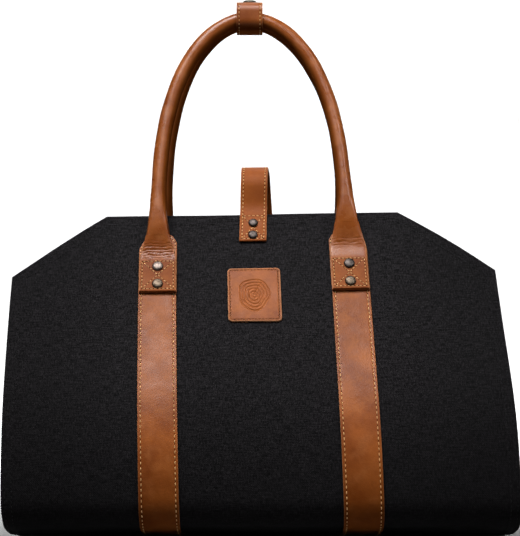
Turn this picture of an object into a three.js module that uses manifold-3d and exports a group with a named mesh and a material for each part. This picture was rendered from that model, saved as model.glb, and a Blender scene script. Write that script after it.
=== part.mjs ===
// Canvas log carrier: a canvas sling open at both ends, leather straps, two rolled handles and a keeper.
// Units are millimetres. X runs along the open ends, the front faces -Y, Z is up and the floor is Z = 0.

import * as THREE from 'three';
import { mergeVertices } from 'three/addons/utils/BufferGeometryUtils.js';
import Module from 'manifold-3d';

const wasm = await Module();
wasm.setup();

// Clearance between pieces that lie on each other
const seatGap = 0.3;
// Clearance round a rivet's shank
const shankGap = 0.3;

// Canvas sling: flat cut, and the corners taken off it
const canvasWidth = 491;
const canvasLength = 1020;
const canvasThickness = 2;
const cornerWidth = 94;
const cornerLength = 74;
const cornerBow = 2.5;

// Side view of half the sling, from the middle of the bottom to the top edge.
// share is the part of the half length, turn the angle it bends through in degrees.
const slingSections = [
  { name: 'floor', share: 0.1, turn: 0, steps: 1 },
  { name: 'rocker', share: 0.2, turn: 14, steps: 3 },
  { name: 'corner', share: 0.08, turn: 76, steps: 7 },
  { name: 'belly', share: 0.222, turn: 30, steps: 6 },
  { name: 'panel', share: 0.398, turn: 0, steps: 6 },
];

// The filled shape stands a little askew: its top leans left and its right side rides higher
const topSway = 13.2;
const swayCurve = 1.5;
const sideTilt = 0.016;

// Leather straps under the sling
const strapWidth = 38;
const strapThickness = 2.4;
const strapSpacing = 194;
const strapEndDrop = 48;

// Shouldered leather layers under the handle ends
const baseThickness = 1.7;
const baseEndDrop = 98.6;
const baseShoulderDrop = 42;
const baseShoulderLength = 11;
const baseNeckWidth = 27;
// How far the shoulder next to the middle lies above the outer one, as a half
const baseSlant = 4;

// Rolled handles
const handleDiameter = 16;
const handleEndInset = 0.75;
const handleEndThickness = 2.2;
// The arch leaves the panel at the gather drop, and the gather starts a lead below it
const handleGatherDrop = 49;
const handleGatherLead = 8;
const handleGatherLength = 76;
const handleRise = 255.4;
const handleLegFullness = 3;
const handleCrownFullness = 1.9;
const handleLeanCurve = 1.2;
// The back handle's legs stand a little to the right and further apart than the front one's
const backHandleShift = 3;

// Rivets through the handle ends and the front of the closing strap
const rivetHeadDiameter = 11;
const rivetHeadHeight = 3.2;
const rivetShankDiameter = 3.6;
const rivetCapDiameter = 9;
const rivetCapHeight = 1.6;
const rivetFromEnd = { upper: 29.6, lower: 8.3 };
const closingRivetHeadDiameter = 9.8;
const closingRivetFromEnd = { upper: 22, lower: 7 };

// Closing strap over the mouth
const closingWidth = 28;
const closingThickness = 2.4;
const closingEndDrop = 35.5;
const closingTurnOut = 28;
const closingTurnLength = 14;
const closingWallLength = 14.6;
const closingBendRadius = 24;
const closingDrift = 10;
const closingSnapFromEnd = 15;

// Keeper round both handles
const keeperWidth = 28;
const keeperThickness = 2.4;
const keeperHeadroom = 6;
const keeperGap = 1;
const keeperOverlap = 22;

// Snaps
const snapCapDiameter = 15.5;
const snapCapHeight = 4.4;
const snapPostDiameter = 4;
const snapStudDiameter = 10;
const snapStudHeight = 3;

// Leather patch on the front
const patchWidth = 53.5;
const patchLength = 64;
const patchThickness = 1.8;
const patchDrop = 69;
const patchCornerRadius = 4.5;

// Facets
const canvasColumns = 6;
const strapColumns = 2;
const handleSides = 12;
const handleGatherSteps = 6;
const handleLegSteps = 9;
const handleEndSteps = 3;
const roundSides = 10;
// Length of the cutter that makes a hole, centred on the canvas
const drillLength = 60;

const colours = {
  canvas: 0x1b1b1f,
  leather: 0x8a5130,
  darkNickel: 0x6f6559,
};

const degree = Math.PI / 180;
const halfLength = canvasLength / 2;
const halfSpacing = strapSpacing / 2;
const handleEndWidth = strapWidth - 2 * handleEndInset;
const tubeRadius = handleDiameter / 2;
const keeperBendRadius = tubeRadius + keeperGap + keeperThickness / 2;

// Heights of the layers over the canvas's outer face
const strapFace = seatGap + strapThickness;
const baseFace = strapFace + seatGap + baseThickness;
const handleEndFloor = baseFace + seatGap;
const handleEndFace = handleEndFloor + handleEndThickness;
const closingFace = seatGap + closingThickness;

// Walk along a flat path of straight and curved sections from a start point and heading.
// Returns a function from the distance walked to the point and the heading there.
function walkPath(start, sections) {
  const legs = [];
  let { x, y, heading, distance } = start;
  for (const { length, turn } of sections) {
    legs.push({ x, y, heading, distance, length, turn });
    const end = advance({ x, y, heading, length, turn }, length);
    ({ x, y, heading } = end);
    distance += length;
  }
  return (along) => {
    const leg = legs.findLast((candidate) => candidate.distance <= along) ?? legs[0];
    return advance(leg, along - leg.distance);
  };
}

// Point and heading after a run along one straight or curved section
function advance({ x, y, heading, length, turn }, run) {
  const turned = (turn * run) / length;
  if (turn === 0) {
    return { x: x + Math.cos(heading) * run, y: y + Math.sin(heading) * run, heading };
  }
  const radius = length / turn;
  return {
    x: x + radius * (Math.sin(heading + turned) - Math.sin(heading)),
    y: y - radius * (Math.cos(heading + turned) - Math.cos(heading)),
    heading: heading + turned,
  };
}

// Distances along a path of sections where it needs a row of points
function rowsAlong(sections) {
  const rows = [0];
  let reached = 0;
  for (const { length, steps } of sections) {
    for (let step = 1; step <= steps; step += 1) {
      rows.push(reached + (length * step) / steps);
    }
    reached += length;
  }
  return rows;
}

function lengthOf(sections) {
  return sections.reduce((sum, { length }) => sum + length, 0);
}

// Rows of one half of a path and their mirror images on its other half, in rising order
function bothHalves(rows) {
  return [...rows.filter((row) => row > 0).map((row) => -row), ...rows].sort((a, b) => a - b);
}

const slingRuns = slingSections.map(({ share, turn, steps }) => (
  { length: share * halfLength, turn: turn * degree, steps }
));
const slingPath = walkPath({ x: 0, y: strapFace, heading: 0, distance: 0 }, slingRuns);

// Point of the sling's outer face, raised outwards by offset.
// along is the distance from the middle of the bottom, positive on the front half.
function slingPoint(across, along, offset) {
  const { x: depth, y: height, heading } = slingPath(Math.abs(along));
  const outDepth = depth + Math.sin(heading) * offset;
  const outHeight = height - Math.cos(heading) * offset;
  return new THREE.Vector3(across, -Math.sign(along) * outDepth, outHeight);
}

const gatherPoint = slingPoint(0, halfLength - handleGatherDrop, (handleEndFloor + handleEndFace) / 2);
const apexHeight = gatherPoint.z + handleRise;

// The lean and tilt of the standing carrier, fading out at the floor and at the keeper
function settle(point) {
  const share = point.z / apexHeight;
  return new THREE.Vector3(
    point.x - topSway * Math.max(0, share * (2 - share)) ** swayCurve,
    point.y,
    point.z + sideTilt * point.x * 4 * share * (1 - share),
  );
}

// Rows from one distance to another on the signed path, with the sling's own rows between them
function rowsBetween(from, to, extras = []) {
  const closeRow = 1;
  const inside = bothHalves(rowsAlong(slingRuns))
    .filter((row) => row > from + closeRow && row < to - closeRow)
    .filter((row) => extras.every((extra) => Math.abs(extra - row) > closeRow));
  return [from, ...inside, ...extras, to].sort((a, b) => a - b);
}

// A closed geometry with shared vertices, each vertex moved by place
function shaped(geometry, place) {
  geometry.deleteAttribute('normal');
  geometry.deleteAttribute('uv');
  const merged = mergeVertices(geometry, 1e-5);
  const positions = merged.getAttribute('position');
  const vertex = new THREE.Vector3();
  for (let i = 0; i < positions.count; i += 1) {
    vertex.fromBufferAttribute(positions, i);
    const moved = place(vertex);
    positions.setXYZ(i, moved.x, moved.y, moved.z);
  }
  return merged;
}

// A slab with a row of points at each distance in rows. point(row, across, level) gives a point,
// with across from -1 to 1 and level a half below the middle on the inner face, a half above on the outer.
function slab(rows, columns, point) {
  const steps = rows.length - 1;
  const span = 2;
  const box = new THREE.BoxGeometry(span, steps, 1, columns, steps, 1);
  return shaped(box, ({ x, y, z }) => point(rows[Math.round(y + steps / 2)], x, z));
}

// A slab that lies on the sling between two heights over its outer face
function slingSlab(rows, columns, centreX, halfWidthAt, floor, face) {
  return slab(rows, columns, (row, across, level) => {
    const offset = (floor + face) / 2 + (face - floor) * level;
    return settle(slingPoint(centreX + across * halfWidthAt(row), row, offset));
  });
}

function solidOf(geometry) {
  const position = geometry.getAttribute('position');
  return new wasm.Manifold(new wasm.Mesh({
    numProp: 3,
    vertProperties: new Float32Array(position.array),
    triVerts: new Uint32Array(geometry.index.array),
  }));
}

function geometryOf(solid) {
  const mesh = solid.getMesh();
  const geometry = new THREE.BufferGeometry();
  geometry.setAttribute('position', new THREE.BufferAttribute(new Float32Array(mesh.vertProperties), 3));
  geometry.setIndex(new THREE.BufferAttribute(new Uint32Array(mesh.triVerts), 1));
  geometry.computeVertexNormals();
  return geometry;
}

// Cut a round hole through the geometry at each seat
function pierced(geometry, seats, diameter) {
  let solid = solidOf(geometry);
  for (const seat of seats) {
    const cutter = shaped(new THREE.CylinderGeometry(diameter / 2, diameter / 2, drillLength, roundSides),
      (vertex) => vertex.applyQuaternion(seat.turn).add(seat.point));
    solid = solid.subtract(solidOf(cutter));
  }
  return geometryOf(solid);
}

// Where a fastener sits: a point, and the turn that points a lathe's axis along the outward normal
function seatAt(pointAt) {
  const point = settle(pointAt(0, 0));
  const outward = settle(pointAt(0, 1)).sub(point).normalize();
  const along = settle(pointAt(1, 0)).sub(point);
  const side = new THREE.Vector3().crossVectors(along, outward).normalize();
  const ahead = new THREE.Vector3().crossVectors(side, outward);
  const basis = new THREE.Matrix4().makeBasis(side, outward, ahead);
  return { point, turn: new THREE.Quaternion().setFromRotationMatrix(basis) };
}

function slingSeat(across, along) {
  return seatAt((run, rise) => slingPoint(across, along + run, rise));
}

function piece(name, geometry, material) {
  const mesh = new THREE.Mesh(geometry, material);
  mesh.name = name;
  return mesh;
}

function placedPiece(name, geometry, material, seat) {
  const mesh = piece(name, geometry, material);
  mesh.position.copy(seat.point);
  mesh.quaternion.copy(seat.turn);
  return mesh;
}

function clothMaterial() {
  return new THREE.MeshStandardMaterial({ color: colours.canvas, roughness: 0.92, metalness: 0 });
}

function leatherMaterial() {
  return new THREE.MeshStandardMaterial({ color: colours.leather, roughness: 0.48, metalness: 0 });
}

function metalMaterial() {
  return new THREE.MeshStandardMaterial({ color: colours.darkNickel, roughness: 0.32, metalness: 1 });
}

// Where the rivets of one handle end go through, from the tab's lower end upwards
function tabSeats(sideX, front) {
  const end = halfLength - baseEndDrop;
  return Object.fromEntries(Object.entries(rivetFromEnd).map(
    ([name, rise]) => [name, slingSeat(sideX * halfSpacing, front * (end + rise))],
  ));
}

const sides = [{ name: 'left', x: -1 }, { name: 'right', x: 1 }];
const faces = [{ name: 'front', front: 1 }, { name: 'back', front: -1 }];
const tabs = faces.flatMap((face) => sides.map((side) => ({
  face, side, name: `${face.name}_${side.name}`, seats: tabSeats(side.x, face.front),
})));

// Closing strap: from its front end up the panel, outwards, over the mouth and down the back
const mouthHeading = slingPath(halfLength).heading;
const turnedHeading = mouthHeading - closingTurnOut * degree;

function closingHalfPath() {
  const start = slingPath(halfLength - closingEndDrop);
  const rise = seatGap + closingThickness / 2;
  const foot = {
    x: start.x + Math.sin(start.heading) * rise,
    y: start.y - Math.cos(start.heading) * rise,
    heading: start.heading,
    distance: 0,
  };
  const flat = { length: closingEndDrop, turn: 0, steps: 3 };
  const turnOut = { length: closingTurnLength, turn: turnedHeading - mouthHeading, steps: 4 };
  const wall = { length: closingWallLength, turn: 0, steps: 1 };
  const turn = Math.PI - turnedHeading;
  const bend = { length: closingBendRadius * turn, turn, steps: 7 };
  const front = [flat, turnOut, wall, bend];
  const toTop = walkPath(foot, front)(lengthOf(front));
  const sections = [...front, { length: toTop.x, turn: 0, steps: 1 }];
  return { walk: walkPath(foot, sections), sections };
}

const closingHalf = closingHalfPath();
const closingHalfLength = lengthOf(closingHalf.sections);

// along runs from minus half to plus half of the strap, positive on the front
function closingPoint(across, along, offset) {
  const { x: depth, y: height, heading } = closingHalf.walk(closingHalfLength - Math.abs(along));
  const drift = closingDrift * (0.5 - along / (2 * closingHalfLength));
  return new THREE.Vector3(
    across + drift,
    -Math.sign(along) * (depth + Math.sin(heading) * offset),
    height - Math.cos(heading) * offset,
  );
}

function closingSeat(fromEnd, front) {
  const along = front * (closingHalfLength - fromEnd);
  return seatAt((run, rise) => closingPoint(0, along + run, rise - closingThickness / 2 - seatGap));
}

const closingSeats = {
  upper: closingSeat(closingRivetFromEnd.upper, 1),
  lower: closingSeat(closingRivetFromEnd.lower, 1),
};
const closingSnapSeat = closingSeat(closingSnapFromEnd, -1);

function closingStrap() {
  const half = rowsAlong(closingHalf.sections).map((row) => closingHalfLength - row);
  // The last row of the half lies on the crown, where rounding may leave it a hair off zero
  half[half.length - 1] = 0;
  const rows = bothHalves(half);
  const strap = slab(rows, strapColumns, (row, across, level) => (
    settle(closingPoint(-across * closingWidth / 2, row, level * closingThickness))
  ));
  const seats = [...Object.values(closingSeats), closingSnapSeat];
  return piece('closing_strap', pierced(strap, seats, fastenerHole()), leatherMaterial());
}

function fastenerHole() {
  return Math.max(rivetShankDiameter, snapPostDiameter) + 2 * shankGap;
}

// Canvas
function canvasHalfWidth(along) {
  const share = Math.max(0, (Math.abs(along) - (halfLength - cornerLength)) / cornerLength);
  return canvasWidth / 2 - cornerWidth * share + cornerBow * 4 * share * (1 - share);
}

function canvasSling() {
  const cornerSteps = 4;
  const cornerRows = [];
  for (let step = 0; step < cornerSteps; step += 1) {
    cornerRows.push(halfLength - cornerLength + (cornerLength * step) / cornerSteps);
  }
  const extras = [...cornerRows, ...cornerRows.map((row) => -row)];
  const rows = rowsBetween(-halfLength, halfLength, extras);
  const sheet = slingSlab(rows, canvasColumns, 0, canvasHalfWidth, -canvasThickness, 0);
  const tabHoles = tabs.flatMap((tab) => Object.values(tab.seats));
  const seats = [...tabHoles, ...Object.values(closingSeats), closingSnapSeat];
  return piece('canvas_sling', pierced(sheet, seats, fastenerHole()), clothMaterial());
}

function strap({ name, x }) {
  const end = halfLength - strapEndDrop;
  const band = slingSlab(rowsBetween(-end, end), strapColumns, x * halfSpacing, () => strapWidth / 2,
    seatGap, strapFace);
  const seats = tabs.filter((tab) => tab.side.x === x).flatMap((tab) => Object.values(tab.seats));
  return piece(`strap_${name}`, pierced(band, seats, fastenerHole()), leatherMaterial());
}

function handleBase({ name, face, side, seats }) {
  const end = halfLength - baseEndDrop;
  const shoulder = halfLength - baseShoulderDrop;
  const neck = shoulder + baseShoulderLength;
  const halfWidthAt = (row) => {
    const share = Math.max(0, (Math.abs(row) - shoulder) / baseShoulderLength);
    return THREE.MathUtils.lerp(strapWidth, baseNeckWidth, share) / 2;
  };
  const rows = [end, (end + shoulder) / 2, shoulder, neck].map((row) => row * face.front);
  rows.sort((a, b) => a - b);
  const layerMiddle = baseFace - baseThickness / 2;
  const layer = slab(rows, strapColumns, (row, across, level) => {
    const slantShare = THREE.MathUtils.clamp((Math.abs(row) - end) / (shoulder - end), 0, 1);
    const raised = -side.x * across * baseSlant * slantShare;
    const along = row + face.front * raised;
    const acrossSling = side.x * halfSpacing + across * halfWidthAt(row);
    return settle(slingPoint(acrossSling, along, layerMiddle + baseThickness * level));
  });
  const drilled = pierced(layer, Object.values(seats), fastenerHole());
  return piece(`handle_base_${name}`, drilled, leatherMaterial());
}

// How a handle end gathers from its flat tab into the round handle.
// along is the share of the gather length, narrow and plump the shares of the way to the tube's
// width and thickness.
const gatherTable = [
  { along: 0, narrow: 0, plump: 0 },
  { along: 0.1, narrow: 0.2, plump: 0.03 },
  { along: 0.26, narrow: 0.48, plump: 0.2 },
  { along: 0.4, narrow: 0.67, plump: 0.42 },
  { along: 0.58, narrow: 0.84, plump: 0.7 },
  { along: 0.72, narrow: 0.94, plump: 0.87 },
  { along: 1, narrow: 1, plump: 1 },
];

function gatherAt(share) {
  const last = gatherTable.length - 1;
  const next = Math.max(1, gatherTable.findIndex(({ along }) => along >= share));
  const upper = share >= 1 ? last : next;
  const [low, high] = [gatherTable[upper - 1], gatherTable[upper]];
  const mix = THREE.MathUtils.clamp((share - low.along) / (high.along - low.along), 0, 1);
  return {
    narrow: THREE.MathUtils.lerp(low.narrow, high.narrow, mix),
    plump: THREE.MathUtils.lerp(low.plump, high.plump, mix),
  };
}

// Half the distance between the two handles' middles where the keeper holds them
const apexDepth = tubeRadius + seatGap / 2;

// Middle line of a handle's arch: angle runs from 0 at the left tab to pi at the right tab
function archPoint(angle, front) {
  const reach = Math.sign(Math.cos(angle)) * Math.abs(Math.cos(angle)) ** (2 / handleCrownFullness);
  const rise = Math.max(0, Math.sin(angle)) ** (2 / handleLegFullness);
  const shift = front > 0 ? 0 : backHandleShift * Math.sin(Math.PI * rise);
  const lean = (1 - rise) ** handleLeanCurve;
  const depth = apexDepth + (-gatherPoint.y - apexDepth) * lean;
  const across = shift - reach * (halfSpacing + shift);
  return new THREE.Vector3(across, -front * depth, gatherPoint.z + rise * handleRise);
}

// Distances of the rows along one leg of an arch, closer together where it gathers and at the keeper
function legRuns(legLength) {
  const gatherRun = handleGatherLength - handleGatherLead;
  const keeperRun = legLength - keeperWidth / 2 - seatGap;
  const runs = [];
  for (let step = 0; step < handleGatherSteps; step += 1) {
    runs.push((gatherRun * step) / handleGatherSteps);
  }
  for (let step = 0; step <= handleLegSteps; step += 1) {
    runs.push(THREE.MathUtils.lerp(gatherRun, keeperRun, step / handleLegSteps));
  }
  return runs;
}

function archCurve(front) {
  const fineSteps = 400;
  const points = [];
  for (let step = 0; step <= fineSteps; step += 1) {
    points.push(archPoint(Math.PI * (step / fineSteps), front));
  }
  const curve = new THREE.CatmullRomCurve3(points);
  curve.arcLengthDivisions = 4 * fineSteps;
  return curve;
}

// Middle line points with the width and thickness of the section at each
function handleStations(front) {
  const end = halfLength - baseEndDrop;
  const gather = halfLength - handleGatherDrop;
  const middle = (handleEndFloor + handleEndFace) / 2;
  const tab = [];
  for (let step = 0; step < handleEndSteps; step += 1) {
    const along = THREE.MathUtils.lerp(end, gather, step / handleEndSteps);
    tab.push({ point: slingPoint(halfSpacing, along * front, middle), narrow: 0, plump: 0 });
  }
  const left = tab.map(({ point, ...shape }) => ({ point: point.clone().setX(-halfSpacing), ...shape }));
  const curve = archCurve(front);
  const lengths = curve.getLengths();
  const total = lengths.at(-1);
  const leftLeg = lengths[(lengths.length - 1) / 2];
  const rightRuns = legRuns(total - leftLeg).map((run) => total - run).reverse();
  const arch = [...legRuns(leftLeg), leftLeg, ...rightRuns].map((run) => {
    const fromEnd = Math.min(run, total - run);
    const shape = gatherAt(Math.min(1, (fromEnd + handleGatherLead) / handleGatherLength));
    return { point: curve.getPointAt(run / total), ...shape };
  });
  const stations = [...left, ...arch, ...tab.reverse()];
  return stations.map((station, i) => {
    const before = stations[Math.max(i - 1, 0)].point;
    const after = stations[Math.min(i + 1, stations.length - 1)].point;
    return { ...station, along: after.clone().sub(before).normalize() };
  });
}

// Corner sharpness of a section between the flat tab and the round handle
function sectionPoint(angle, halfWidth, halfThickness, plump) {
  const flatSharpness = 7;
  const power = 2 / THREE.MathUtils.lerp(flatSharpness, 2, Math.sqrt(plump));
  const wide = Math.sign(Math.cos(angle)) * Math.abs(Math.cos(angle)) ** power;
  const thick = Math.sign(Math.sin(angle)) * Math.abs(Math.sin(angle)) ** power;
  return { wide: wide * halfWidth, thick: thick * halfThickness };
}

function handle({ name, front }) {
  const stations = handleStations(front);
  const steps = stations.length - 1;
  const tube = new THREE.CylinderGeometry(1, 1, steps, handleSides, steps);
  const outward = new THREE.Vector3(0, -front, 0);
  const body = shaped(tube, ({ x, y, z }) => {
    const { point, along, narrow, plump } = stations[Math.round(y + steps / 2)];
    const thickAxis = outward.clone().addScaledVector(along, -outward.dot(along)).normalize();
    const wideAxis = new THREE.Vector3().crossVectors(along, thickAxis);
    const halfWidth = THREE.MathUtils.lerp(handleEndWidth, handleDiameter, narrow) / 2;
    const halfThickness = THREE.MathUtils.lerp(handleEndThickness, handleDiameter, plump) / 2;
    const onRim = Math.hypot(x, z) > 0.5;
    const rim = sectionPoint(Math.atan2(z, x), halfWidth, halfThickness, plump);
    const section = onRim ? rim : { wide: 0, thick: 0 };
    // The gathered end plumps outwards only, away from the canvas
    const lift = (halfThickness - handleEndThickness / 2) * (1 - plump);
    return settle(point.clone()
      .addScaledVector(wideAxis, section.wide)
      .addScaledVector(thickAxis, section.thick + lift));
  });
  const seats = tabs.filter((tab) => tab.face.front === front).flatMap((tab) => Object.values(tab.seats));
  return piece(`handle_${name}`, pierced(body, seats, fastenerHole()), leatherMaterial());
}

// A turned fastener: head outside, shank through the layers, cap inside.
// Height 0 is the canvas's outer face, and face is the height of the outermost layer.
function fastener({ headDiameter, headHeight, shankDiameter, capDiameter, capHeight }, face) {
  const headFoot = face + seatGap;
  const capFoot = -canvasThickness - seatGap;
  const outline = new THREE.Path();
  outline.moveTo(0, capFoot - capHeight);
  outline.lineTo(capDiameter * 0.36, capFoot - capHeight);
  outline.lineTo(capDiameter / 2, capFoot - capHeight * 0.4);
  outline.lineTo(capDiameter / 2, capFoot);
  outline.lineTo(shankDiameter / 2, capFoot);
  outline.lineTo(shankDiameter / 2, headFoot);
  outline.lineTo(headDiameter / 2, headFoot);
  outline.lineTo(headDiameter / 2, headFoot + headHeight * 0.3);
  outline.lineTo(headDiameter * 0.36, headFoot + headHeight * 0.8);
  outline.lineTo(0, headFoot + headHeight);
  return shaped(new THREE.LatheGeometry(outline.getPoints(1), roundSides), (vertex) => vertex);
}

const rivetSizes = {
  headDiameter: rivetHeadDiameter,
  headHeight: rivetHeadHeight,
  shankDiameter: rivetShankDiameter,
  capDiameter: rivetCapDiameter,
  capHeight: rivetCapHeight,
};
const snapSizes = {
  headDiameter: snapCapDiameter,
  headHeight: snapCapHeight,
  shankDiameter: snapPostDiameter,
  capDiameter: snapStudDiameter,
  capHeight: snapStudHeight,
};

function tabRivets({ name, seats }) {
  return Object.entries(seats).map(([level, seat]) => (
    placedPiece(`rivet_${name}_${level}`, fastener(rivetSizes, handleEndFace), metalMaterial(), seat)
  ));
}

function closingRivets() {
  const sizes = { ...rivetSizes, headDiameter: closingRivetHeadDiameter };
  return Object.entries(closingSeats).map(([level, seat]) => (
    placedPiece(`closing_rivet_${level}`, fastener(sizes, closingFace), metalMaterial(), seat)
  ));
}

function closingSnap() {
  return placedPiece('closing_snap', fastener(snapSizes, closingFace), metalMaterial(), closingSnapSeat);
}

// Keeper loop seen from the side, starting under the flap and going back, down, forward, up and over
const keeperFlat = 2 * apexDepth;
const keeperBend = { length: keeperBendRadius * Math.PI / 2, turn: -Math.PI / 2, steps: 6 };
const keeperStraight = (length) => ({ length, turn: 0, steps: 1 });
const keeperSections = [
  keeperStraight(keeperFlat / 2 + keeperOverlap / 2),
  keeperBend,
  keeperStraight(keeperHeadroom),
  keeperBend,
  keeperStraight(keeperFlat),
  keeperBend,
  keeperStraight(keeperHeadroom + keeperThickness + seatGap),
  keeperBend,
  keeperStraight(keeperFlat / 2 + keeperOverlap / 2),
];
// The arch falls away to both sides of its middle, so the keeper's floor lies lower by its sag
const archLevel = (1 - (keeperWidth / strapSpacing) ** handleCrownFullness) ** (1 / handleLegFullness);
const keeperSag = handleRise * (1 - archLevel);
const keeperTop = apexHeight - keeperSag + keeperBendRadius + keeperHeadroom;
const keeperStart = { x: -keeperOverlap / 2, y: keeperTop, heading: 0, distance: 0 };
const keeperWalk = walkPath(keeperStart, keeperSections);
const keeperLength = lengthOf(keeperSections);

function keeperPoint(across, along, offset) {
  const { x: depth, y: height, heading } = keeperWalk(along);
  return new THREE.Vector3(across, depth - Math.sin(heading) * offset, height + Math.cos(heading) * offset);
}

// The snap's height 0 lies one canvas thickness over the inner face of the loop's two layers
const keeperSnapRise = canvasThickness - keeperThickness * 1.5 - seatGap;
const keeperSnapSeat = seatAt((run, rise) => (
  keeperPoint(0, keeperLength - keeperOverlap / 2 - run, rise + keeperSnapRise)
));

function keeperBand() {
  const loop = slab(rowsAlong(keeperSections), strapColumns, (row, across, level) => (
    settle(keeperPoint(across * keeperWidth / 2, row, level * keeperThickness))
  ));
  return piece('keeper_band', pierced(loop, [keeperSnapSeat], fastenerHole()), leatherMaterial());
}

function keeperSnap() {
  const layers = 2 * keeperThickness + seatGap;
  const face = layers - canvasThickness;
  return placedPiece('keeper_snap', fastener(snapSizes, face), metalMaterial(), keeperSnapSeat);
}

function patch() {
  const top = halfLength - patchDrop;
  const bottom = top - patchLength;
  const cornerSteps = 3;
  const rows = [];
  for (let step = 0; step <= cornerSteps; step += 1) {
    const inset = patchCornerRadius * (1 - Math.cos((step / cornerSteps) * Math.PI / 2));
    rows.push(bottom + inset, top - inset);
  }
  rows.push((top + bottom) / 2);
  rows.sort((a, b) => a - b);
  const halfWidthAt = (row) => {
    const reach = Math.max(0, patchCornerRadius - Math.min(row - bottom, top - row));
    return patchWidth / 2 - patchCornerRadius + Math.sqrt(patchCornerRadius ** 2 - reach ** 2);
  };
  const layer = slingSlab(rows, strapColumns, 0, halfWidthAt, seatGap, seatGap + patchThickness);
  layer.computeVertexNormals();
  return piece('patch', layer, leatherMaterial());
}

const carrier = new THREE.Group();
const hardware = new THREE.Group();
hardware.add(...tabs.flatMap(tabRivets), ...closingRivets(), closingSnap(), keeperSnap());
carrier.add(
  canvasSling(),
  ...sides.map(strap),
  ...tabs.map(handleBase),
  ...faces.map(handle),
  closingStrap(),
  keeperBand(),
  patch(),
  hardware,
);

// The origin is on the floor under the middle of the standing carrier
const middle = new THREE.Box3().setFromObject(carrier).getCenter(new THREE.Vector3());
carrier.position.set(-middle.x, -middle.y, 0);

export default carrier;
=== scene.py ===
# Canvas log carrier: hemmed black canvas, stitched leather straps, rolled handles and nickel hardware.
# Units are metres. X runs along the open ends, the front faces -Y, Z is up and the floor is Z = 0.
import math

import bmesh
import bpy
import numpy as np
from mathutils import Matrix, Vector


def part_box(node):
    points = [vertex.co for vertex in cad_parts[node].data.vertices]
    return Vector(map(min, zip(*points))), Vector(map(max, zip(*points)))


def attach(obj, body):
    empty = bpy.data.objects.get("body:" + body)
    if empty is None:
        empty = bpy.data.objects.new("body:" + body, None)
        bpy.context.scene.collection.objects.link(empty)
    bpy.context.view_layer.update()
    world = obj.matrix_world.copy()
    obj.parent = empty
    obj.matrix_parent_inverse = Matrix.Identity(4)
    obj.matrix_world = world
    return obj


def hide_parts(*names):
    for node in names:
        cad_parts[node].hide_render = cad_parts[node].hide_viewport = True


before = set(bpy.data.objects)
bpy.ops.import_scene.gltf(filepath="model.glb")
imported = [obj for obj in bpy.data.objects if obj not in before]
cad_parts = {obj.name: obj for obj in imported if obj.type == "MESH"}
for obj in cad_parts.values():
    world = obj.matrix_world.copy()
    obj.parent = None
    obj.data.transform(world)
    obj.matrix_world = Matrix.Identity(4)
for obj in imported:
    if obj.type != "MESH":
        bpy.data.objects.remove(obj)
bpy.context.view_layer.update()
MM = 0.001

# Driving sizes, as the carrier is cut and sewn
SEAT_GAP = 0.3 * MM
CANVAS_WIDTH = 491 * MM
CANVAS_LENGTH = 1020 * MM
CANVAS_THICKNESS = 2 * MM
CORNER_WIDTH = 94 * MM
CORNER_LENGTH = 74 * MM
CORNER_BOW = 2.5 * MM
SLING_SECTIONS = [
    {"name": "floor", "share": 0.1, "turn": 0},
    {"name": "rocker", "share": 0.2, "turn": 14},
    {"name": "corner", "share": 0.08, "turn": 76},
    {"name": "belly", "share": 0.222, "turn": 30},
    {"name": "panel", "share": 0.398, "turn": 0},
]
TOP_SWAY = 13.2 * MM
SWAY_CURVE = 1.5
SIDE_TILT = 0.016
STRAP_WIDTH = 38 * MM
STRAP_THICKNESS = 2.4 * MM
STRAP_SPACING = 194 * MM
STRAP_END_DROP = 48 * MM
BASE_THICKNESS = 1.7 * MM
BASE_END_DROP = 98.6 * MM
BASE_SHOULDER_DROP = 42 * MM
BASE_SHOULDER_LENGTH = 11 * MM
BASE_NECK_WIDTH = 27 * MM
BASE_SLANT = 4 * MM
HANDLE_DIAMETER = 16 * MM
HANDLE_END_WIDTH = 36.5 * MM
HANDLE_END_THICKNESS = 2.2 * MM
HANDLE_GATHER_DROP = 49 * MM
HANDLE_GATHER_LEAD = 8 * MM
HANDLE_GATHER_LENGTH = 76 * MM
HANDLE_RISE = 255.4 * MM
HANDLE_LEG_FULLNESS = 3
HANDLE_CROWN_FULLNESS = 1.9
HANDLE_LEAN_CURVE = 1.2
BACK_HANDLE_SHIFT = 3 * MM
RIVET_FROM_END = {"upper": 29.6 * MM, "lower": 8.3 * MM}
CLOSING_RIVET_FROM_END = {"upper": 22 * MM, "lower": 7 * MM}
CLOSING_WIDTH = 28 * MM
CLOSING_THICKNESS = 2.4 * MM
CLOSING_END_DROP = 35.5 * MM
CLOSING_TURN_OUT = 28
CLOSING_TURN_LENGTH = 14 * MM
CLOSING_WALL_LENGTH = 14.6 * MM
CLOSING_BEND_RADIUS = 24 * MM
CLOSING_DRIFT = 10 * MM
CLOSING_SNAP_FROM_END = 15 * MM
KEEPER_WIDTH = 28 * MM
KEEPER_THICKNESS = 2.4 * MM
KEEPER_HEADROOM = 6 * MM
KEEPER_GAP = 1 * MM
KEEPER_OVERLAP = 22 * MM
PATCH_WIDTH = 53.5 * MM
PATCH_LENGTH = 64 * MM
PATCH_THICKNESS = 1.8 * MM
PATCH_DROP = 69 * MM
PATCH_CORNER_RADIUS = 4.5 * MM

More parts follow.
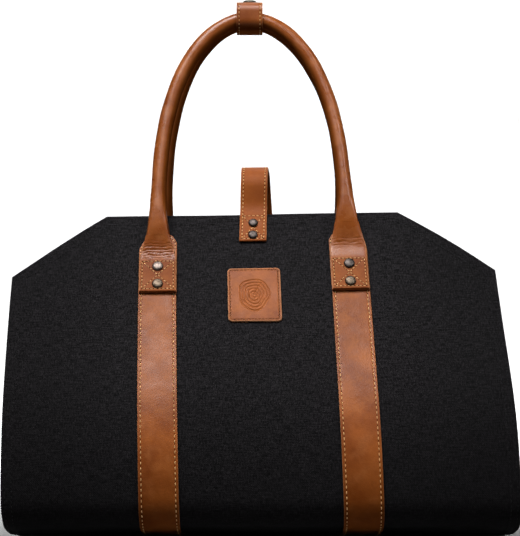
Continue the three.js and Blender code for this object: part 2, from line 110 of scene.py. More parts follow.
HALF_LENGTH = CANVAS_LENGTH / 2
HALF_SPACING = STRAP_SPACING / 2
TUBE_RADIUS = HANDLE_DIAMETER / 2
STRAP_FACE = SEAT_GAP + STRAP_THICKNESS
BASE_FACE = STRAP_FACE + SEAT_GAP + BASE_THICKNESS
HANDLE_END_FLOOR = BASE_FACE + SEAT_GAP
HANDLE_END_FACE = HANDLE_END_FLOOR + HANDLE_END_THICKNESS
HANDLE_END_MIDDLE = (HANDLE_END_FLOOR + HANDLE_END_FACE) / 2
CLOSING_FACE = SEAT_GAP + CLOSING_THICKNESS
KEEPER_BEND_RADIUS = TUBE_RADIUS + KEEPER_GAP + KEEPER_THICKNESS / 2
SIDES = {"left": -1, "right": 1}
FACES = {"front": 1, "back": -1}


# Sums that the shapes below share
def arrays(*values):
    """The values as number arrays of one shape."""
    return np.broadcast_arrays(*(np.asarray(value, float) for value in values))


def unit(vectors):
    return vectors / np.linalg.norm(vectors, axis=-1, keepdims=True)


def bell(value, width):
    return np.exp(-((value / width) ** 2))


def smoothstep(low, high, value):
    share = np.clip((np.asarray(value, float) - low) / (high - low), 0, 1)
    return share * share * (3 - 2 * share)


def powered(value, power):
    """A power that keeps the sign."""
    return np.sign(value) * np.abs(value) ** power


def rounded_off(inside, radius):
    """How far a face drops towards its rounded edge, at a distance inside it."""
    share = np.clip(inside / radius, 0, 1)
    return radius * (1 - np.sqrt(1 - (1 - share) ** 2))


def run_along(points):
    """Distance of each point along the line through them."""
    return np.concatenate([[0], np.cumsum(np.linalg.norm(np.diff(points, axis=0), axis=1))])


def sampled(values, run, at):
    """Rows that are known at the distances run, at other distances."""
    return np.stack([np.interp(at, run, column) for column in values.T], -1)


def round_angles(sides, first=0.0):
    return (np.arange(sides) + first) * 2 * math.pi / sides


def went(x, y, heading, length, turn, run):
    """Place and heading after a run into a section that is straight or an even bend."""
    if not turn:
        return x + math.cos(heading) * run, y + math.sin(heading) * run, heading + 0 * run
    radius = length / turn
    turned = heading + run / radius
    x_after = x + radius * (np.sin(turned) - math.sin(heading))
    return x_after, y - radius * (np.cos(turned) - math.cos(heading)), turned


def walk(start, sections, along):
    """Places and headings at the distances along a flat path of (length, turn) sections."""
    along = np.asarray(along, float)
    place, reached = start, 0.0
    found = np.zeros((3, *along.shape))
    for index, section in enumerate(sections):
        here = along >= reached - 1e-12 if index else np.ones_like(along, bool)
        found = np.where(here, np.stack(went(*place, *section, along - reached)), found)
        place = went(*place, *section, section[0])
        reached += section[0]
    return found


# The sling's outer face, from the middle of the bottom (along 0) up the front (along above 0)
SLING_RUNS = [(row["share"] * HALF_LENGTH, math.radians(row["turn"])) for row in SLING_SECTIONS]
RELIEF_HEIGHT = 0.75 * MM
RELIEF_FROM_FLOOR = (80 * MM, 220 * MM)
RELIEF_WAVES = [
    {"share": 0.5, "across": 21, "along": 9, "phase": 0.6},
    {"share": 0.3, "across": 37, "along": -17, "phase": 2.1},
    {"share": 0.35, "across": 9, "along": 31, "phase": 4.0},
]


def relief(across, along):
    """Slow unevenness of the loaded cloth, nothing where it stands on the floor."""
    slow = sum(
        wave["share"] * np.sin(across * wave["across"] + along * wave["along"] + wave["phase"])
        for wave in RELIEF_WAVES
    )
    return RELIEF_HEIGHT * smoothstep(*RELIEF_FROM_FLOOR, np.abs(along)) * slow


def sling_raw(across, along, rise):
    depth, height, heading = walk((0, STRAP_FACE, 0), SLING_RUNS, np.abs(along))
    depth = depth + np.sin(heading) * rise
    height = height - np.cos(heading) * rise
    return np.stack([across + 0 * depth, -np.sign(along) * depth, height], -1)


def sling(across, along, rise):
    """Points at a height over the sling's outer face, before it settles."""
    across, along, rise = arrays(across, along, rise)
    return sling_raw(across, along, rise + relief(across, along))


GATHER = sling_raw(0.0, HALF_LENGTH - HANDLE_GATHER_DROP, HANDLE_END_MIDDLE)
APEX_HEIGHT = GATHER[2] + HANDLE_RISE


def lean(points):
    """The standing carrier's sway to the left and its tilt, before it is centred."""
    share = points[..., 2] / APEX_HEIGHT
    out = points.copy()
    out[..., 0] = points[..., 0] - TOP_SWAY * np.maximum(0, share * (2 - share)) ** SWAY_CURVE
    out[..., 2] = points[..., 2] + SIDE_TILT * points[..., 0] * 4 * share * (1 - share)
    return out


# The frame's origin is under the middle of its box, which the lean has moved
corner_row = np.linspace(0, HALF_LENGTH - CORNER_LENGTH, 60)
left_edge = lean(sling_raw(np.full_like(corner_row, -CANVAS_WIDTH / 2), corner_row, 0.0))
CENTRE_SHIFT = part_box("canvas_sling")[0][0] - left_edge[:, 0].min()


def settle(points):
    out = lean(points)
    out[..., 0] += CENTRE_SHIFT
    return out


# Surfaces that trim is laid on: each takes across, along and rise, and gives settled points
def on_sling(across, along, rise):
    return settle(sling(across, along, rise))


def closing_half():
    """Foot and sections of half the closing strap, from its front end to its top."""
    depth, height, heading = (
        float(v) for v in walk((0, STRAP_FACE, 0), SLING_RUNS, HALF_LENGTH - CLOSING_END_DROP)
    )
    rise = SEAT_GAP + CLOSING_THICKNESS / 2
    foot = (depth + math.sin(heading) * rise, height - math.cos(heading) * rise, heading)
    turn_out = math.radians(CLOSING_TURN_OUT)
    turn = math.pi - heading + turn_out
    front = [
        (CLOSING_END_DROP, 0.0),
        (CLOSING_TURN_LENGTH, -turn_out),
        (CLOSING_WALL_LENGTH, 0.0),
        (CLOSING_BEND_RADIUS * turn, turn),
    ]
    to_top = float(walk(foot, front, sum(length for length, _ in front))[0])
    return foot, [*front, (to_top, 0.0)]


CLOSING_FOOT, CLOSING_RUNS = closing_half()
CLOSING_HALF_LENGTH = sum(length for length, _ in CLOSING_RUNS)


def on_closing(across, along, rise):
    """rise is measured from the strap's middle, along is positive on the front half."""
    across, along, rise = arrays(across, along, rise)
    depth, height, heading = walk(CLOSING_FOOT, CLOSING_RUNS, CLOSING_HALF_LENGTH - np.abs(along))
    drift = CLOSING_DRIFT * (0.5 - along / (2 * CLOSING_HALF_LENGTH))
    y = -np.sign(along) * (depth + np.sin(heading) * rise)
    return settle(np.stack([across + drift, y, height - np.cos(heading) * rise], -1))


APEX_DEPTH = TUBE_RADIUS + SEAT_GAP / 2
KEEPER_BEND = (KEEPER_BEND_RADIUS * math.pi / 2, -math.pi / 2)
KEEPER_FLAT = APEX_DEPTH + KEEPER_OVERLAP / 2
KEEPER_RUNS = [
    (KEEPER_FLAT, 0),
    KEEPER_BEND,
    (KEEPER_HEADROOM, 0),
    KEEPER_BEND,
    (2 * APEX_DEPTH, 0),
    KEEPER_BEND,
    (KEEPER_HEADROOM + KEEPER_THICKNESS + SEAT_GAP, 0),
    KEEPER_BEND,
    (KEEPER_FLAT, 0),
]
KEEPER_LENGTH = sum(length for length, _ in KEEPER_RUNS)
ARCH_LEVEL = (1 - (KEEPER_WIDTH / STRAP_SPACING) ** HANDLE_CROWN_FULLNESS) ** (1 / HANDLE_LEG_FULLNESS)
KEEPER_TOP = APEX_HEIGHT - HANDLE_RISE * (1 - ARCH_LEVEL) + KEEPER_BEND_RADIUS + KEEPER_HEADROOM


def on_keeper(across, along, rise):
    across, along, rise = arrays(across, along, rise)
    depth, height, heading = walk((-KEEPER_OVERLAP / 2, KEEPER_TOP, 0), KEEPER_RUNS, along)
    return settle(np.stack([across, depth - np.sin(heading) * rise, height + np.cos(heading) * rise], -1))


# Mesh making
def add_mesh(name, points, faces, material, flow=None, smooth=True, **layers):
    """A mesh object with outward faces, an optional weave coordinate, and layers such as edge wear."""
    mesh = bpy.data.meshes.new(name)
    mesh.from_pydata(points.reshape(-1, 3).tolist(), [], faces)
    mesh.update()
    for label, values in layers.items():
        layer = mesh.attributes.new(label, "FLOAT", "POINT")
        layer.data.foreach_set("value", np.asarray(values, np.float32).ravel())
    if flow is not None:
        uv = mesh.uv_layers.new(name="flow")
        corner_vertex = np.zeros(len(mesh.loops), np.int32)
        mesh.loops.foreach_get("vertex_index", corner_vertex)
        uv.data.foreach_set("uv", np.asarray(flow, np.float32)[corner_vertex].ravel())
    turned_out = bmesh.new()
    turned_out.from_mesh(mesh)
    bmesh.ops.recalc_face_normals(turned_out, faces=turned_out.faces)
    turned_out.to_mesh(mesh)
    turned_out.free()
    mesh.polygons.foreach_set("use_smooth", [smooth] * len(mesh.polygons))
    mesh.materials.append(material)
    obj = bpy.data.objects.new(name, mesh)
    bpy.context.scene.collection.objects.link(obj)
    return obj


def finished(obj, replaces=()):
    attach(obj, "root")
    if replaces:
        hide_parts(*replaces)
    return obj


def ring_faces(rings, sides):
    """Quads between rings of points, with a polygon over each end."""
    row = np.arange(rings - 1)[:, None] * sides
    side = np.arange(sides)[None, :]
    after = (side + 1) % sides
    quads = np.stack([row + side, row + after, row + sides + after, row + sides + side], -1)
    faces = quads.reshape(-1, 4).tolist()
    faces.append(list(range(sides)))
    faces.append(list(range((rings - 1) * sides, rings * sides)))
    return faces


def grid_faces(rows, columns):
    """Quads of a grid of points, and the loop of points round its rim."""
    first = np.arange(rows - 1)[:, None] * columns + np.arange(columns - 1)[None, :]
    quads = np.stack([first, first + 1, first + columns + 1, first + columns], -1).reshape(-1, 4)
    rim = np.concatenate([
        np.arange(columns),
        np.arange(1, rows) * columns + columns - 1,
        (rows - 1) * columns + np.arange(columns - 2, -1, -1),
        np.arange(rows - 2, 0, -1) * columns,
    ])
    return quads, rim


def wall_faces(rim, lower_rim):
    return np.stack([rim, np.roll(rim, -1), np.roll(lower_rim, -1), lower_rim], -1)


# Leather bands
EDGE_ROUND = 0.55 * MM
EDGE_STEPS = 4
END_BURNISH = 1.6 * MM
END_ROWS = np.array([0, 0.25, 0.8]) * MM
GROOVE_INSET = 2.8 * MM
GROOVE_DEPTH = 0.22 * MM
GROOVE_HALF_WIDTH = 0.9 * MM
SECTION_INSETS = np.array([1.2, 1.9, 2.4, 2.8, 3.2, 3.7, 5.0]) * MM
SECTION_CORE = 6 * MM


def groove(distance):
    """Depth of the stitch groove at a distance from its middle."""
    return GROOVE_DEPTH * np.exp(-((distance / GROOVE_HALF_WIDTH) ** 2) * 2)


def band_section(width, thickness):
    """Outline of a leather band's section: across, rise from its middle, and edge wear."""
    half, top = width / 2, thickness / 2
    profile = []
    for step in range(EDGE_STEPS + 1):
        angle = math.pi / 2 * step / EDGE_STEPS
        profile.append((
            -half + EDGE_ROUND * (1 - math.cos(angle)),
            top - EDGE_ROUND * (1 - math.sin(angle)),
            1.0 - step / (EDGE_STEPS + 1),
        ))
    for inset in SECTION_INSETS:
        wear = max(0.0, 0.25 - 0.12 * inset / MM)
        profile.append((-half + inset, top - groove(inset - GROOVE_INSET), wear))
    profile += [(x, top, 0.0) for x in np.linspace(-half + SECTION_CORE + MM, 0, 3)]
    face = profile + [(-x, z, wear) for x, z, wear in reversed(profile[:-1])]
    shoulder = half - SECTION_INSETS[0] - 0.1 * MM
    back = [(x, -z, wear) for x, z, wear in reversed(face) if abs(x) > shoulder or abs(x) < 1e-9]
    return np.array(face + back)


def band(name, replaced, surface, rows, size, material, middle_rise=0.0, centre=0.0, width_at=None,
         wobble=np.zeros_like, shade_at=np.zeros_like):
    """A leather band lofted along a surface, with rounded and worn edges, in place of a CAD node."""
    width, thickness = size
    ring = band_section(width, thickness)
    rows = np.concatenate([rows[0] + END_ROWS, rows[1:-1], rows[-1] - END_ROWS[::-1]])
    reach = np.minimum(rows - rows[0], rows[-1] - rows)
    squeeze = np.where(reach < EDGE_ROUND, 1 - 0.45 * (1 - reach / EDGE_ROUND) ** 2, 1.0)
    scale = np.ones_like(rows) if width_at is None else width_at(rows) / width
    # Only the middle narrows, so the edge rounding and stitch groove keep their size
    shift = np.sign(ring[:, 0]) * width / 2 * (scale[:, None] - 1)
    core = np.abs(ring[:, 0]) < width / 2 - SECTION_CORE
    across = np.where(core, ring[:, 0] * scale[:, None], ring[:, 0] + shift)
    points = surface(
        centre + across + wobble(rows)[:, None],
        rows[:, None],
        middle_rise + ring[:, 1] * squeeze[:, None],
    )
    edge = ring[None, :, 2] * smoothstep(0, END_BURNISH, reach)[:, None]
    shade = shade_at(rows)[:, None] + np.zeros_like(edge)
    faces = ring_faces(len(rows), len(ring))
    finished(add_mesh(name, points, faces, material, edge=edge, shade=shade), [replaced])


# Materials
def feed(tree, target, inputs):
    """Link the inputs that are sockets and set the ones that are constants."""
    for key, value in inputs.items():
        if isinstance(value, bpy.types.NodeSocket):
            tree.links.new(value, target.inputs[key])
        else:
            target.inputs[key].default_value = value


def node(tree, kind, inputs, **settings):
    made = tree.nodes.new(f"ShaderNode{kind}")
    for key, value in settings.items():
        setattr(made, key, value)
    feed(tree, made, inputs)
    return made


def new_material(name):
    """A material, its tree, its shader and the place on the object."""
    material = bpy.data.materials.new(name)
    material.use_nodes = True
    tree = material.node_tree
    shader = next(made for made in tree.nodes if made.type == "BSDF_PRINCIPLED")
    return material, tree, shader, node(tree, "TexCoord", {}).outputs["Object"]


def worked(tree, operation, *values):
    return node(tree, "Math", dict(enumerate(values)), operation=operation).outputs[0]


def mixed(tree, share, first, second):
    return node(tree, "Mix", {0: share, 6: first, 7: second}, data_type="RGBA").outputs[2]


def ramped(tree, value, low, high, to_low=0.0, to_high=1.0):
    return node(tree, "MapRange", {0: value, 1: low, 2: high, 3: to_low, 4: to_high}).outputs[0]


def noise(tree, vector, scale, detail=2.0, roughness=0.5):
    inputs = {"Vector": vector, "Scale": scale, "Detail": detail, "Roughness": roughness}
    return node(tree, "TexNoise", inputs).outputs["Fac"]


def streaks(tree, vector, scale):
    """Noise drawn out along the axes with the smaller scales."""
    drawn = node(tree, "Mapping", {"Vector": vector, "Scale": scale}).outputs["Vector"]
    return noise(tree, drawn, 1.0)


def bumped(tree, height, strength, distance, below=None):
    inputs = {"Height": height, "Strength": strength, "Distance": distance}
    if below is not None:
        inputs["Normal"] = below
    return node(tree, "Bump", inputs).outputs["Normal"]


def layer_value(tree, name):
    return node(tree, "Attribute", {}, attribute_name=name).outputs["Fac"]


# Leather colours
BODY = (0.285, 0.080, 0.0155, 1)
DEEP = (0.170, 0.040, 0.0065, 1)
PALE = (0.360, 0.125, 0.034, 1)
RAW = (0.420, 0.190, 0.080, 1)
CLOSING_BODY = (0.225, 0.058, 0.008, 1)
HANDLE_BODY = (0.245, 0.068, 0.0125, 1)
PATCH_RIM = (0.36, 0.165, 0.078, 1)
SHADOW = tuple(0.3 * value for value in DEEP[:3]) + (1,)


def leather_material(name, roughness, grain, seed, gloss, body=BODY, pale=PALE, raw=RAW):
    """Oiled leather: cloudy body colour, pull-up patches, fine grain, raw worn edges and painted shade from
    the shade layer.
    """
    material, tree, shader, place = new_material(name)
    moved = node(tree, "Mapping", {"Vector": place, "Location": (seed, seed * 0.7, -seed)})
    place = moved.outputs["Vector"]
    cloud = noise(tree, place, 26.0, 4.0, 0.6)
    patches = noise(tree, place, 75.0, 3.0)
    mottle = noise(tree, place, 420.0, 2.0, 0.6)
    colour = mixed(tree, ramped(tree, cloud, 0.36, 0.64), DEEP, body)
    colour = mixed(tree, ramped(tree, patches, 0.5, 0.78, 0.0, 0.45), colour, pale)
    colour = mixed(tree, ramped(tree, mottle, 0.3, 0.75, 0.0, 0.28), colour, DEEP)
    edge, shade, matt = (layer_value(tree, layer) for layer in ("edge", "shade", "matt"))
    fray = ramped(tree, noise(tree, place, 900.0), 0.25, 0.6, 0.55, 1.0)
    colour = mixed(tree, ramped(tree, worked(tree, "MULTIPLY", edge, fray), 0.25, 0.85), colour, raw)
    # Painted shade: the shade layer darkens the colour towards SHADOW
    colour = mixed(tree, shade, colour, SHADOW)
    pores = node(tree, "TexVoronoi", {"Vector": place, "Scale": 900.0}, feature="F1").outputs["Distance"]
    creases = noise(tree, place, 160.0, 5.0, 0.65)
    normal = bumped(tree, pores, 0.16 * grain, 0.0006)
    wear = ramped(tree, patches, 0.3, 0.8, roughness - 0.05, roughness + 0.12)
    rough = worked(tree, "ADD", wear, ramped(tree, edge, 0.2, 0.9, 0.0, 0.3))
    dull = worked(tree, "MULTIPLY_ADD", matt, 0.22, shade)
    feed(tree, shader, {
        "Base Color": colour,
        "Normal": bumped(tree, creases, 0.22 * grain, 0.0012, normal),
        "Roughness": worked(tree, "ADD", rough, ramped(tree, matt, 0.0, 1.0, 0.0, 0.3)),
        "Specular IOR Level": ramped(tree, dull, 0.0, 0.6, gloss, 0.0),
    })
    return material


# Canvas colours, from its dark ground to the dust on it, and its painted shade
CANVAS_DARK = (0.0013, 0.0010, 0.0011, 1)
CANVAS_LIGHT = (0.0020, 0.0019, 0.0023, 1)
CANVAS_SLUB = (0.016, 0.0145, 0.016, 1)
CANVAS_GAP = (0.0012, 0.0012, 0.0014, 1)
CANVAS_DUST = (0.034, 0.031, 0.033, 1)
CANVAS_SHADE = (0.0008, 0.0007, 0.0008, 1)
YARN_WIDTH = 0.85 * MM


def canvas_material():
    """Heavy black plain weave: crossing yarns, slubs, a faint dusty bloom, and painted shade towards the
    bottom and the side edges.
    """
    material, tree, shader, place = new_material("canvas_black")
    flow = node(tree, "UVMap", {}, uv_map="flow").outputs["UV"]
    split = node(tree, "SeparateXYZ", {"Vector": flow}).outputs
    waves = [
        worked(tree, "SINE", worked(tree, "MULTIPLY_ADD", split[axis], math.pi / YARN_WIDTH, 0.0))
        for axis in "XY"
    ]
    lift = ramped(tree, worked(tree, "MULTIPLY", *waves), -1.0, 1.0)
    yarns = (streaks(tree, flow, scale) for scale in ((85.0, 1200.0, 1.0), (1300.0, 160.0, 1.0)))
    slubs = worked(tree, "ADD", *yarns)
    bloom = noise(tree, place, 9.0, 4.0, 0.6)
    dust = noise(tree, place, 620.0, 3.0, 0.65)
    upward, outward = (worked(tree, "ABSOLUTE", split[axis]) for axis in "YX")
    colour = mixed(tree, ramped(tree, bloom, 0.3, 0.7), CANVAS_DARK, CANVAS_LIGHT)
    for share, tint in (
        (ramped(tree, slubs, 0.88, 1.16, 0.0, 0.95), CANVAS_SLUB),
        (ramped(tree, lift, 0.0, 0.5, 0.45, 0.0), CANVAS_GAP),
        (ramped(tree, dust, 0.52, 0.72, 0.0, 0.7), CANVAS_DUST),
        # Painted shade: darker towards the bottom of the sling and towards its side edges
        (ramped(tree, upward, 0.18, 0.36, 0.5, 0.0), CANVAS_SHADE),
        (ramped(tree, outward, 0.12, 0.2, 0.0, 0.3), CANVAS_SHADE),
    ):
        colour = mixed(tree, share, colour, tint)
    feed(tree, shader, {
        "Base Color": colour,
        "Normal": bumped(tree, slubs, 0.35, 0.0005, bumped(tree, lift, 0.55, 0.00035)),
        "Roughness": ramped(tree, slubs, 0.7, 1.3, 0.82, 0.94),
        "Sheen Weight": 0.04,
        "Sheen Roughness": 0.55,
        "Sheen Tint": (0.35, 0.35, 0.38, 1),
        "Specular IOR Level": 0.06,
    })
    return material


def thread_material(name, light, dark, roughness=0.6):
    """Twisted thread: fine slanting strands of two tones."""
    material, tree, shader, place = new_material(name)
    strands = node(tree, "TexWave", {"Vector": place, "Scale": 900.0, "Distortion": 2.0},
                   bands_direction="DIAGONAL").outputs["Fac"]
    tone = noise(tree, place, 300.0)
    colour = mixed(tree, ramped(tree, strands, 0.2, 0.8), dark, light)
    feed(tree, shader, {
        "Base Color": mixed(tree, ramped(tree, tone, 0.55, 0.8, 0.0, 0.6), colour, dark),
        "Normal": bumped(tree, strands, 0.4, 0.0002),
        "Roughness": ramped(tree, tone, 0.3, 0.7, roughness - 0.1, roughness + 0.1),
        "Specular IOR Level": 0.12,
    })
    return material


def metal_material(name, bright, dull, roughness):
    """Antique nickel: handling polish over darker tarnish, with fine scratches."""
    material, tree, shader, place = new_material(name)
    tarnish = noise(tree, place, 340.0, 4.0, 0.6)
    marks = streaks(tree, place, (400.0, 400.0, 4000.0))
    feed(tree, shader, {
        "Base Color": mixed(tree, ramped(tree, tarnish, 0.4, 0.66), bright, dull),
        "Metallic": 1.0,
        "Roughness": ramped(tree, marks, 0.3, 0.7, roughness - 0.06, roughness + 0.1),
        "Normal": bumped(tree, marks, 0.06, 0.0003),
    })
    return material


def hole_shade_material():
    """Painted shade: the dark inside of a needle hole."""
    material, tree, shader, place = new_material("needle_hole_shade")
    tone = noise(tree, place, 500.0)
    feed(tree, shader, {
        "Base Color": mixed(tree, tone, (0.016, 0.005, 0.002, 1), (0.036, 0.011, 0.004, 1)),
        "Roughness": ramped(tree, tone, 0.2, 0.8, 0.8, 0.95),
        "Specular IOR Level": 0.0,
    })
    return material


leather_strap = leather_material("leather_strap", roughness=0.42, grain=1.0, seed=0.0, gloss=0.16)
leather_handle = leather_material(
    "leather_handle", roughness=0.27, grain=1.1, seed=3.1, gloss=0.27, body=HANDLE_BODY
)
leather_patch = leather_material(
    "leather_patch", roughness=0.46, grain=1.1, seed=7.7, gloss=0.13, raw=PATCH_RIM
)
leather_keeper = leather_material(
    "leather_keeper", roughness=0.36, grain=0.9, seed=9.4, gloss=0.3, pale=BODY
)
leather_closing = leather_material(
    "leather_closing", roughness=0.55, grain=0.9, seed=5.3, gloss=0.1, body=CLOSING_BODY, pale=BODY
)
canvas = canvas_material()
thread_ochre = thread_material("thread_ochre", (0.68, 0.42, 0.19, 1), (0.40, 0.21, 0.08, 1))
thread_brown = thread_material("thread_brown", (0.20, 0.085, 0.03, 1), (0.08, 0.03, 0.011, 1))
thread_black = thread_material("thread_black", (0.0085, 0.008, 0.0085, 1), (0.003, 0.003, 0.0033, 1), 0.8)
hole = hole_shade_material()
nickel = metal_material("antique_nickel", (0.12, 0.105, 0.09, 1), (0.05, 0.042, 0.036, 1), 0.5)
# Copies of the nickel for single tab rivets: the bright one is painted highlight, the olive one painted
# reflection
nickel_painted_highlight = metal_material("nickel_painted_highlight", (0.165, 0.133, 0.114, 1), (0.075, 0.058, 0.05, 1), 0.46)
nickel_painted_reflection = metal_material("nickel_painted_reflection", (0.118, 0.09, 0.066, 1), (0.05, 0.037, 0.027, 1), 0.5)
gunmetal = metal_material("gunmetal", (0.07, 0.058, 0.053, 1), (0.028, 0.023, 0.021, 1), 0.48)

# Stitching
THREAD_RADIUS = 0.44 * MM
THREAD_SIDES = 6
STITCH_SHARE = 0.6
STITCH_SPREAD = 0.03
NORMAL_PROBE = 0.1 * MM
HOLE_SIDES = 7
HOLE_RISE = 0.05 * MM
HOLE_DEPTH = 0.4 * MM
# Along the stitch: share of its half length, then rise and thickness as shares of the thread's radius
STITCH_PROFILE = np.array([
    [-1.0, -1.1, 0.55],
    [-0.82, -0.1, 0.9],
    [-0.4, 0.45, 1.0],
    [0.4, 0.45, 1.0],
    [0.82, -0.1, 0.9],
    [1.0, -1.1, 0.55],
])


def path_on(surface, across, along, rise):
    """Points and outward normals of a line drawn on a surface."""
    points = surface(across, along, rise)
    return points, unit(surface(across, along, rise + NORMAL_PROBE) - points)


def line_on(surface, corners, rise, step=1.0 * MM):
    """A line through (across, along) corners, in short steps."""
    places = []
    for start, end in zip(corners, corners[1:]):
        start, end = np.array(start), np.array(end)
        count = max(2, int(math.hypot(*(end - start)) / step) + 1)
        share = np.linspace(0, 1, count, endpoint=False)[:, None]
        places.append(start + (end - start) * share)
    places.append(np.array([corners[-1]]))
    across, along = np.concatenate(places).T
    return path_on(surface, across, along, rise)


def stitch_frames(path, pitch):
    """Middle, direction, sideways and outward direction of each stitch along a path, and its pitch."""
    points, normals = path
    run = run_along(points)
    count = max(1, int(round(run[-1] / pitch)))
    true_pitch = run[-1] / count
    at = (np.arange(count) + 0.5) * true_pitch
    reach = true_pitch * 0.35
    direction = unit(sampled(points, run, at + reach) - sampled(points, run, at - reach))
    normal = sampled(normals, run, at)
    normal = unit(normal - direction * np.sum(direction * normal, axis=1, keepdims=True))
    return sampled(points, run, at), direction, np.cross(direction, normal), normal, true_pitch


def repeated(name, blocks, rings, sides, material, smooth=True):
    """One mesh of many small closed tubes, each of a few rings of points."""
    points = np.concatenate([block.reshape(-1, 3) for block in blocks])
    pattern = ring_faces(rings, sides)
    each = rings * sides
    faces = [[v + each * n for v in face] for n in range(len(points) // each) for face in pattern]
    return add_mesh(name, points, faces, material, smooth=smooth)


def stitches(name, paths, pitch, material, radius=THREAD_RADIUS, slant=0.0, sink=0.1 * MM, slot="leather"):
    """Short arched lengths of thread along the paths, as one mesh."""
    rng = np.random.default_rng(len(name) * 7 + len(paths))
    angles = round_angles(THREAD_SIDES)
    share, lift, thickness = STITCH_PROFILE.T
    blocks = []
    for path in paths:
        middle, direction, side, normal, true_pitch = stitch_frames(path, pitch)
        turn = slant + rng.normal(0, STITCH_SPREAD, len(middle))
        along = direction * np.cos(turn)[:, None] + side * np.sin(turn)[:, None]
        side = np.cross(along, normal)
        half = true_pitch * STITCH_SHARE / 2 * (1 + rng.normal(0, STITCH_SPREAD, len(middle)))
        ring_middle = (
            middle[:, None]
            + along[:, None] * (share * half[:, None])[..., None]
            + normal[:, None] * (lift * radius - sink)[None, :, None]
        )
        spread = radius * thickness[None, :, None, None]
        blocks.append(
            ring_middle[:, :, None]
            + side[:, None, None] * np.cos(angles)[None, None, :, None] * spread * 1.1
            + normal[:, None, None] * np.sin(angles)[None, None, :, None] * spread * 0.85
        )
    return finished(repeated(name, blocks, len(STITCH_PROFILE), THREAD_SIDES, material))


def needle_hole_shades(name, paths, pitch, radius):
    """Painted shade of the needle holes: small dark pits between the stitches, as one mesh of flat discs."""
    angles = round_angles(HOLE_SIDES)
    blocks = []
    for path in paths:
        middle, direction, side, normal, true_pitch = stitch_frames(path, pitch)
        for end in (-0.5, 0.5):
            centre = middle + direction * (end * true_pitch) + normal * HOLE_RISE
            rim = (
                centre[:, None]
                + side[:, None] * np.cos(angles)[None, :, None] * radius
                + direction[:, None] * np.sin(angles)[None, :, None] * radius
            )
            blocks.append(np.concatenate([rim, rim - normal[:, None] * HOLE_DEPTH], axis=1))
    return finished(repeated(name, blocks, 2, HOLE_SIDES, hole, smooth=False))


def sew(name, paths, pitch, radius, hole_radius=0.52 * MM, thread=thread_ochre, **settings):
    """Stitches along the paths, with the painted shade of their needle holes."""
    stitches(f"{name}_stitches", paths, pitch, thread, radius, **settings)
    needle_hole_shades(f"{name}_needle_hole_shades", paths, pitch, hole_radius)


# Canvas sling
HEM_WIDTH = 12 * MM
HEM_STEP = 0.35 * MM
HEM_LINES = (3.9 * MM, 10.1 * MM)
TOP_HEM_LINE = 6.2 * MM
HEM_PITCH = 4.6 * MM
HEM_ROWS = np.array([0, 0.2, 0.5, 0.9, 2, 3.2, 3.9, 4.6, 6.5, 9.3, 10.1, 10.9, 11.7, 12.2, 12.8, 14.5]) * MM
CLOTH_THIN = 0.95 * MM
FOLD_ROUND = 0.8 * MM
STITCH_DIP = 0.28 * MM
STITCH_DIP_WIDTH = 0.8 * MM
BOTTOM_DROOP = 2.1 * MM
MIDDLE_DROOP = 0.5 * MM
END_WAVE = 1.6 * MM
# Where droop and wave come in: from nothing at the first distance to all at the second
BOTTOM_DROOP_OUT = (125 * MM, 240 * MM)
MIDDLE_DROOP_OUT = (70 * MM, 20 * MM)
DROOP_UP = (190 * MM, 120 * MM)
WAVE_OUT = (170 * MM, 245 * MM)
WAVE_UP = (180 * MM, 260 * MM)
PANEL_ROWS, CORNER_ROWS, MIDDLE_COLUMNS = 112, 22, 92
CORNER_START = HALF_LENGTH - CORNER_LENGTH
CORNER_SLOPE = math.hypot(CORNER_WIDTH, CORNER_LENGTH)
# Across the slope of a cut corner, a distance from the edge measures longer along X
CORNER_STRETCH = CORNER_SLOPE / CORNER_LENGTH


def canvas_half_width(along):
    share = np.clip((np.abs(along) - CORNER_START) / CORNER_LENGTH, 0, 1)
    return CANVAS_WIDTH / 2 - CORNER_WIDTH * share + CORNER_BOW * 4 * share * (1 - share)


def hang(across, along):
    """The free ends droop at the bottom, and their side edges wave further up."""
    across, along = arrays(across, along)
    out, up = np.abs(across), np.abs(along)
    droop = BOTTOM_DROOP * smoothstep(*BOTTOM_DROOP_OUT, out)
    droop = droop + MIDDLE_DROOP * smoothstep(*MIDDLE_DROOP_OUT, out)
    wave = END_WAVE * smoothstep(*WAVE_OUT, out) * smoothstep(*WAVE_UP, up)
    wave = wave * np.sin(along * 24 + np.sign(across) * 0.9)
    return smoothstep(*DROOP_UP, up) * droop + wave


def canvas_grid():
    """Places across and along the cloth, closer together over its hems, and their distance inside."""
    half_rows = np.concatenate([
        np.linspace(0, CORNER_START, PANEL_ROWS, endpoint=False),
        np.linspace(CORNER_START, HALF_LENGTH - HEM_ROWS[-1], CORNER_ROWS, endpoint=False),
        HALF_LENGTH - HEM_ROWS[::-1],
    ])
    rows = np.concatenate([-half_rows[:0:-1], half_rows])
    slope = smoothstep(CORNER_START - 2 * MM, CORNER_START + 3 * MM, np.abs(rows))
    stretch = (1 + (CORNER_STRETCH - 1) * slope)[:, None]
    half = canvas_half_width(rows)[:, None]
    left = -half + HEM_ROWS * stretch
    middle = (half - HEM_ROWS[-1] * stretch) * np.linspace(-1, 1, MIDDLE_COLUMNS)[1:-1]
    across = np.concatenate([left, middle, -left[:, ::-1]], axis=1)
    inside = np.minimum((half - np.abs(across)) / stretch, HALF_LENGTH - np.abs(rows)[:, None])
    return across, np.broadcast_to(rows[:, None], across.shape), inside


def fold_and_dip(inside):
    """How far the cloth's face drops at its folded edge and into its seams."""
    dips = sum(STITCH_DIP * bell(inside - line, STITCH_DIP_WIDTH) for line in HEM_LINES)
    return rounded_off(inside, FOLD_ROUND) + dips


